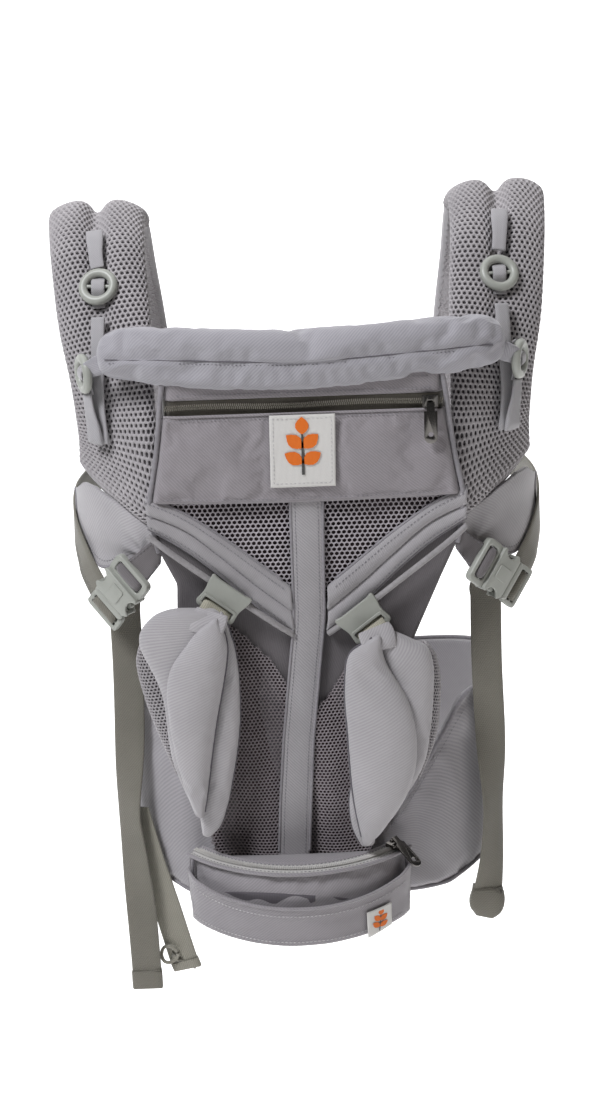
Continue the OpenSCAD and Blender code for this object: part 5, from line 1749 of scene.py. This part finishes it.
POUCH_SPAN = math.degrees(math.acos((POUCH_Y - POUCH_BACK) / POUCH_R))
angles = np.linspace(-POUCH_SPAN, POUCH_SPAN, 90)
COLS_UP = 22
rings = []
for angle in angles:
    edge_soft = min(1, (POUCH_SPAN - abs(angle)) / 6 + 0.25) ** 0.5
    x_front, y_front = pouch_arc(angle, POUCH_R)
    n = np.array([math.sin(math.radians(angle)), -math.cos(math.radians(angle))])
    depth = max(2.0, POUCH_BACK - y_front)
    low = POUCH_LOW + 1.5 + 2.5 * (abs(angle) / POUCH_SPAN) ** 2 * 2
    high = POUCH_TOP - 1.0 - 2.0 * (abs(angle) / POUCH_SPAN) ** 3
    ring = []
    for t in np.linspace(0, 1, COLS_UP):
        sag = 2.2 * math.sin(math.pi * t) ** 0.7 + 1.5 * math.exp(-(((t - 0.32) / 0.2) ** 2))
        q = np.array([x_front, y_front]) + n * (sag - 3.5) * edge_soft
        ring.append((q[0], min(q[1], POUCH_BACK - 0.4), low + (high - low) * t))
    ring.append((x_front - n[0] * 5, min(y_front - n[1] * 5, POUCH_BACK - 0.4), high + 1.8))
    ring.append((x_front - n[0] * 14, min(y_front - n[1] * 14, POUCH_BACK), high + 1.4))
    ring.append((x_front, POUCH_BACK, high + 0.6))
    for t in (0.25, 0.5, 0.75):
        ring.append((x_front, POUCH_BACK + 1.2, high + (low - high) * t))
    ring.append((x_front, POUCH_BACK, low + 0.5))
    ring.append((x_front - n[0] * 6, min(y_front - n[1] * 6, POUCH_BACK), low - 0.8))
    rings.append(ring)
rings = np.array(rings)
rings[:, :COLS_UP, 1] += 0.9 * roughly(rings[:, :COLS_UP, 0], rings[:, :COLS_UP, 2] * 1.3, 17, 2.5)
pouch = shell_piece("pouch_body_cloth", rings, pouch_twill, "pouch")
grid = np.arange(rings.shape[0] * rings.shape[1]).reshape(rings.shape[:2])
loose = np.zeros(rings.shape[:2], bool)
loose[5:-5, 2:COLS_UP - 1] = True
fill_out(pouch, grid[~loose], 1.2, 0.05, 3.5, frames=16, stiffness=10)
round_off(pouch)
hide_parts("pouch_body")

pocket_angles = np.linspace(-POUCH_SPAN + 2, POUCH_SPAN - 2, 80)
rows = []
for t in np.linspace(0, 1, 20):
    row = []
    for angle in pocket_angles:
        share = abs(angle) / POUCH_SPAN
        side_in = np.clip((1 - share) / 0.14, 0, 1) ** 0.6
        out_by = (2.6 + 5.2 * t**1.3) * side_in + 0.5
        x, y = pouch_arc(angle, POUCH_R + out_by)
        hem_z = -50 - 4 * math.cos(angle / POUCH_SPAN * math.pi / 2) + 13 * share**3
        foot_z = POUCH_LOW - 1 + 5.0 * share**2
        row.append((x, min(y, POUCH_BACK - 1), foot_z + (hem_z - foot_z) * t))
    rows.append(row)
pocket_front = np.array(rows)
pocket_front[:, :, 1] -= 0.8 * roughly(pocket_front[:, :, 0], pocket_front[:, :, 2] * 2, 24, 1.5)
front_cloth = cloth_piece("pouch_front_pocket_cloth", pocket_front, pouch_twill, "pouch", 1.4)
hem = cords("pouch_pocket_hem", [pocket_front[-1, 1:-1:4] + (0, -0.2, 0)], 1.3, pouch_twill, "pouch")
lines = [pocket_front[-5, 2:-2:4] - (0, 1.0, 0), pocket_front[2, 2:-2:4] - (0, 1.0, 0)]
stitches("pouch_pocket_stitching", lines, "pouch", light_thread)
# Painted shade: a dark sheet laid on the body just above the pocket hem, tapered along it, stands in for the shadow
# inside the pocket's opening.
shade_sheet_rows = []
for t in np.linspace(0, 1, 10):
    row = []
    for a in np.linspace(-40, 22, 50):
        taper = math.sin(math.pi * (a + 40) / 62) ** 0.6
        row.append((*pouch_arc(a, POUCH_R + 1.9), -62 + (4 + 14 * taper) * t))
    shade_sheet_rows.append(row)
pocket_shade_sheet = cloth_piece("pouch_pocket_painted_shade", np.array(shade_sheet_rows), pocket_shade_finish, "pouch", 0.8)
side_seams = []
for end in (-1, 1):
    a = end * (POUCH_SPAN - 3.5)
    line = []
    for t in np.linspace(0, 1, 8):
        x, y = pouch_arc(a, POUCH_R + 0.5 + 1.6 * math.sin(math.pi * t))
        line.append((x, y, POUCH_LOW + 4 + 55 * t))
    side_seams.append(line)
low_line = [(*pouch_arc(a, POUCH_R - 1.0), POUCH_LOW + 0.2 + 5.2 * (abs(a) / POUCH_SPAN) ** 2)
            for a in np.linspace(-50, 50, 16)]
seams = cords("pouch_side_piping", [*side_seams, low_line], 1.5, edge_cord, "pouch")

ZIP_R, ZIP_HALF = POUCH_R - 7, 52
tape_light = cloth_finish("zip_tape_light", "#bdbbb8", 1.2, 0.5, rough=0.75)
tape_rows = []
for off in np.linspace(-7, 7, 9):
    bend = 0.18 * (off + 3) ** 2 * (off > -3) * 0.22
    tape_rows.append([(*pouch_arc(a, ZIP_R + off), POUCH_TOP + 1.8 - bend * 0.6 - 2.0 * (abs(a) / ZIP_HALF) ** 3)
                      for a in np.linspace(-ZIP_HALF, ZIP_HALF, 70)])
pale_tape = cloth_piece("pouch_zip_tape", np.array(tape_rows), tape_light, "pouch", 1.0, back=(0, 0, -1))
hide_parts("pouch_zip")
coil_pale = moulded_finish("nylon_coil_pale", "#cbc9c5", 0.35)
for number, off in enumerate((-1.1, 1.1)):
    line = [(*pouch_arc(a, ZIP_R + off), POUCH_TOP + 2.5 - 2.0 * (abs(a) / ZIP_HALF) ** 3)
            for a in np.linspace(-ZIP_HALF + 0.4 * number, ZIP_HALF - 1, 80)]
    teeth = row_of(f"pouch_zip_coil_{number + 1}", [line], 1.5, (1.0, 2.7, 1.8), coil_pale, "pouch")
lines = [[(*pouch_arc(a, ZIP_R + off), POUCH_TOP + 2.0 - 2.0 * (abs(a) / ZIP_HALF) ** 3)
          for a in np.linspace(-ZIP_HALF, ZIP_HALF, 24)] for off in (-5.4, 5.6)]
stitches("pouch_zip_stitching", lines, "pouch", sewing_thread)
lip_line = [(*pouch_arc(a, ZIP_R + 8.0), POUCH_TOP + 0.6 - 2.0 * (abs(a) / ZIP_HALF) ** 3)
            for a in np.linspace(-ZIP_HALF, ZIP_HALF, 24)]
back_line = [(*pouch_arc(a, ZIP_R - 7.6), POUCH_TOP + 1.2 - 2.0 * (abs(a) / ZIP_HALF) ** 3)
             for a in np.linspace(-ZIP_HALF, ZIP_HALF, 24)]
rim_cords = cords("pouch_top_piping", [lip_line, back_line], 1.6, pouch_twill, "pouch")
finished_copy("pouch_slider", ["pouch_zip_slider"], black_nickel, "pouch_zip_slider", 0.7)
finished_copy("pouch_pull", ["pouch_zip_pull"], black_nickel, "pouch_zip_pull", 0.45)

tag_rows = []
for t in np.linspace(0, 1, 14):
    row = []
    for v in np.linspace(0, 1, 12):
        x, y = pouch_arc(25.5 + 11 * v, POUCH_R + 8.6 - 3.2 * t)
        row.append((x + 2.0 * t, y, -67 + 2 * v - 25 * t + 3.5 * t * v))
    tag_rows.append(row)
tag = cloth_piece("pouch_side_tag", np.array(tag_rows), label_weave, "pouch", 0.7)
leaf_sprig("pouch_tag_sprig", (48.5, -78.5), 17, -0.1, lambda x: pouch_arc(
    math.degrees(math.asin((x - POUCH_X) / (POUCH_R + 7))), POUCH_R + 7)[1] - 1.6, "pouch")
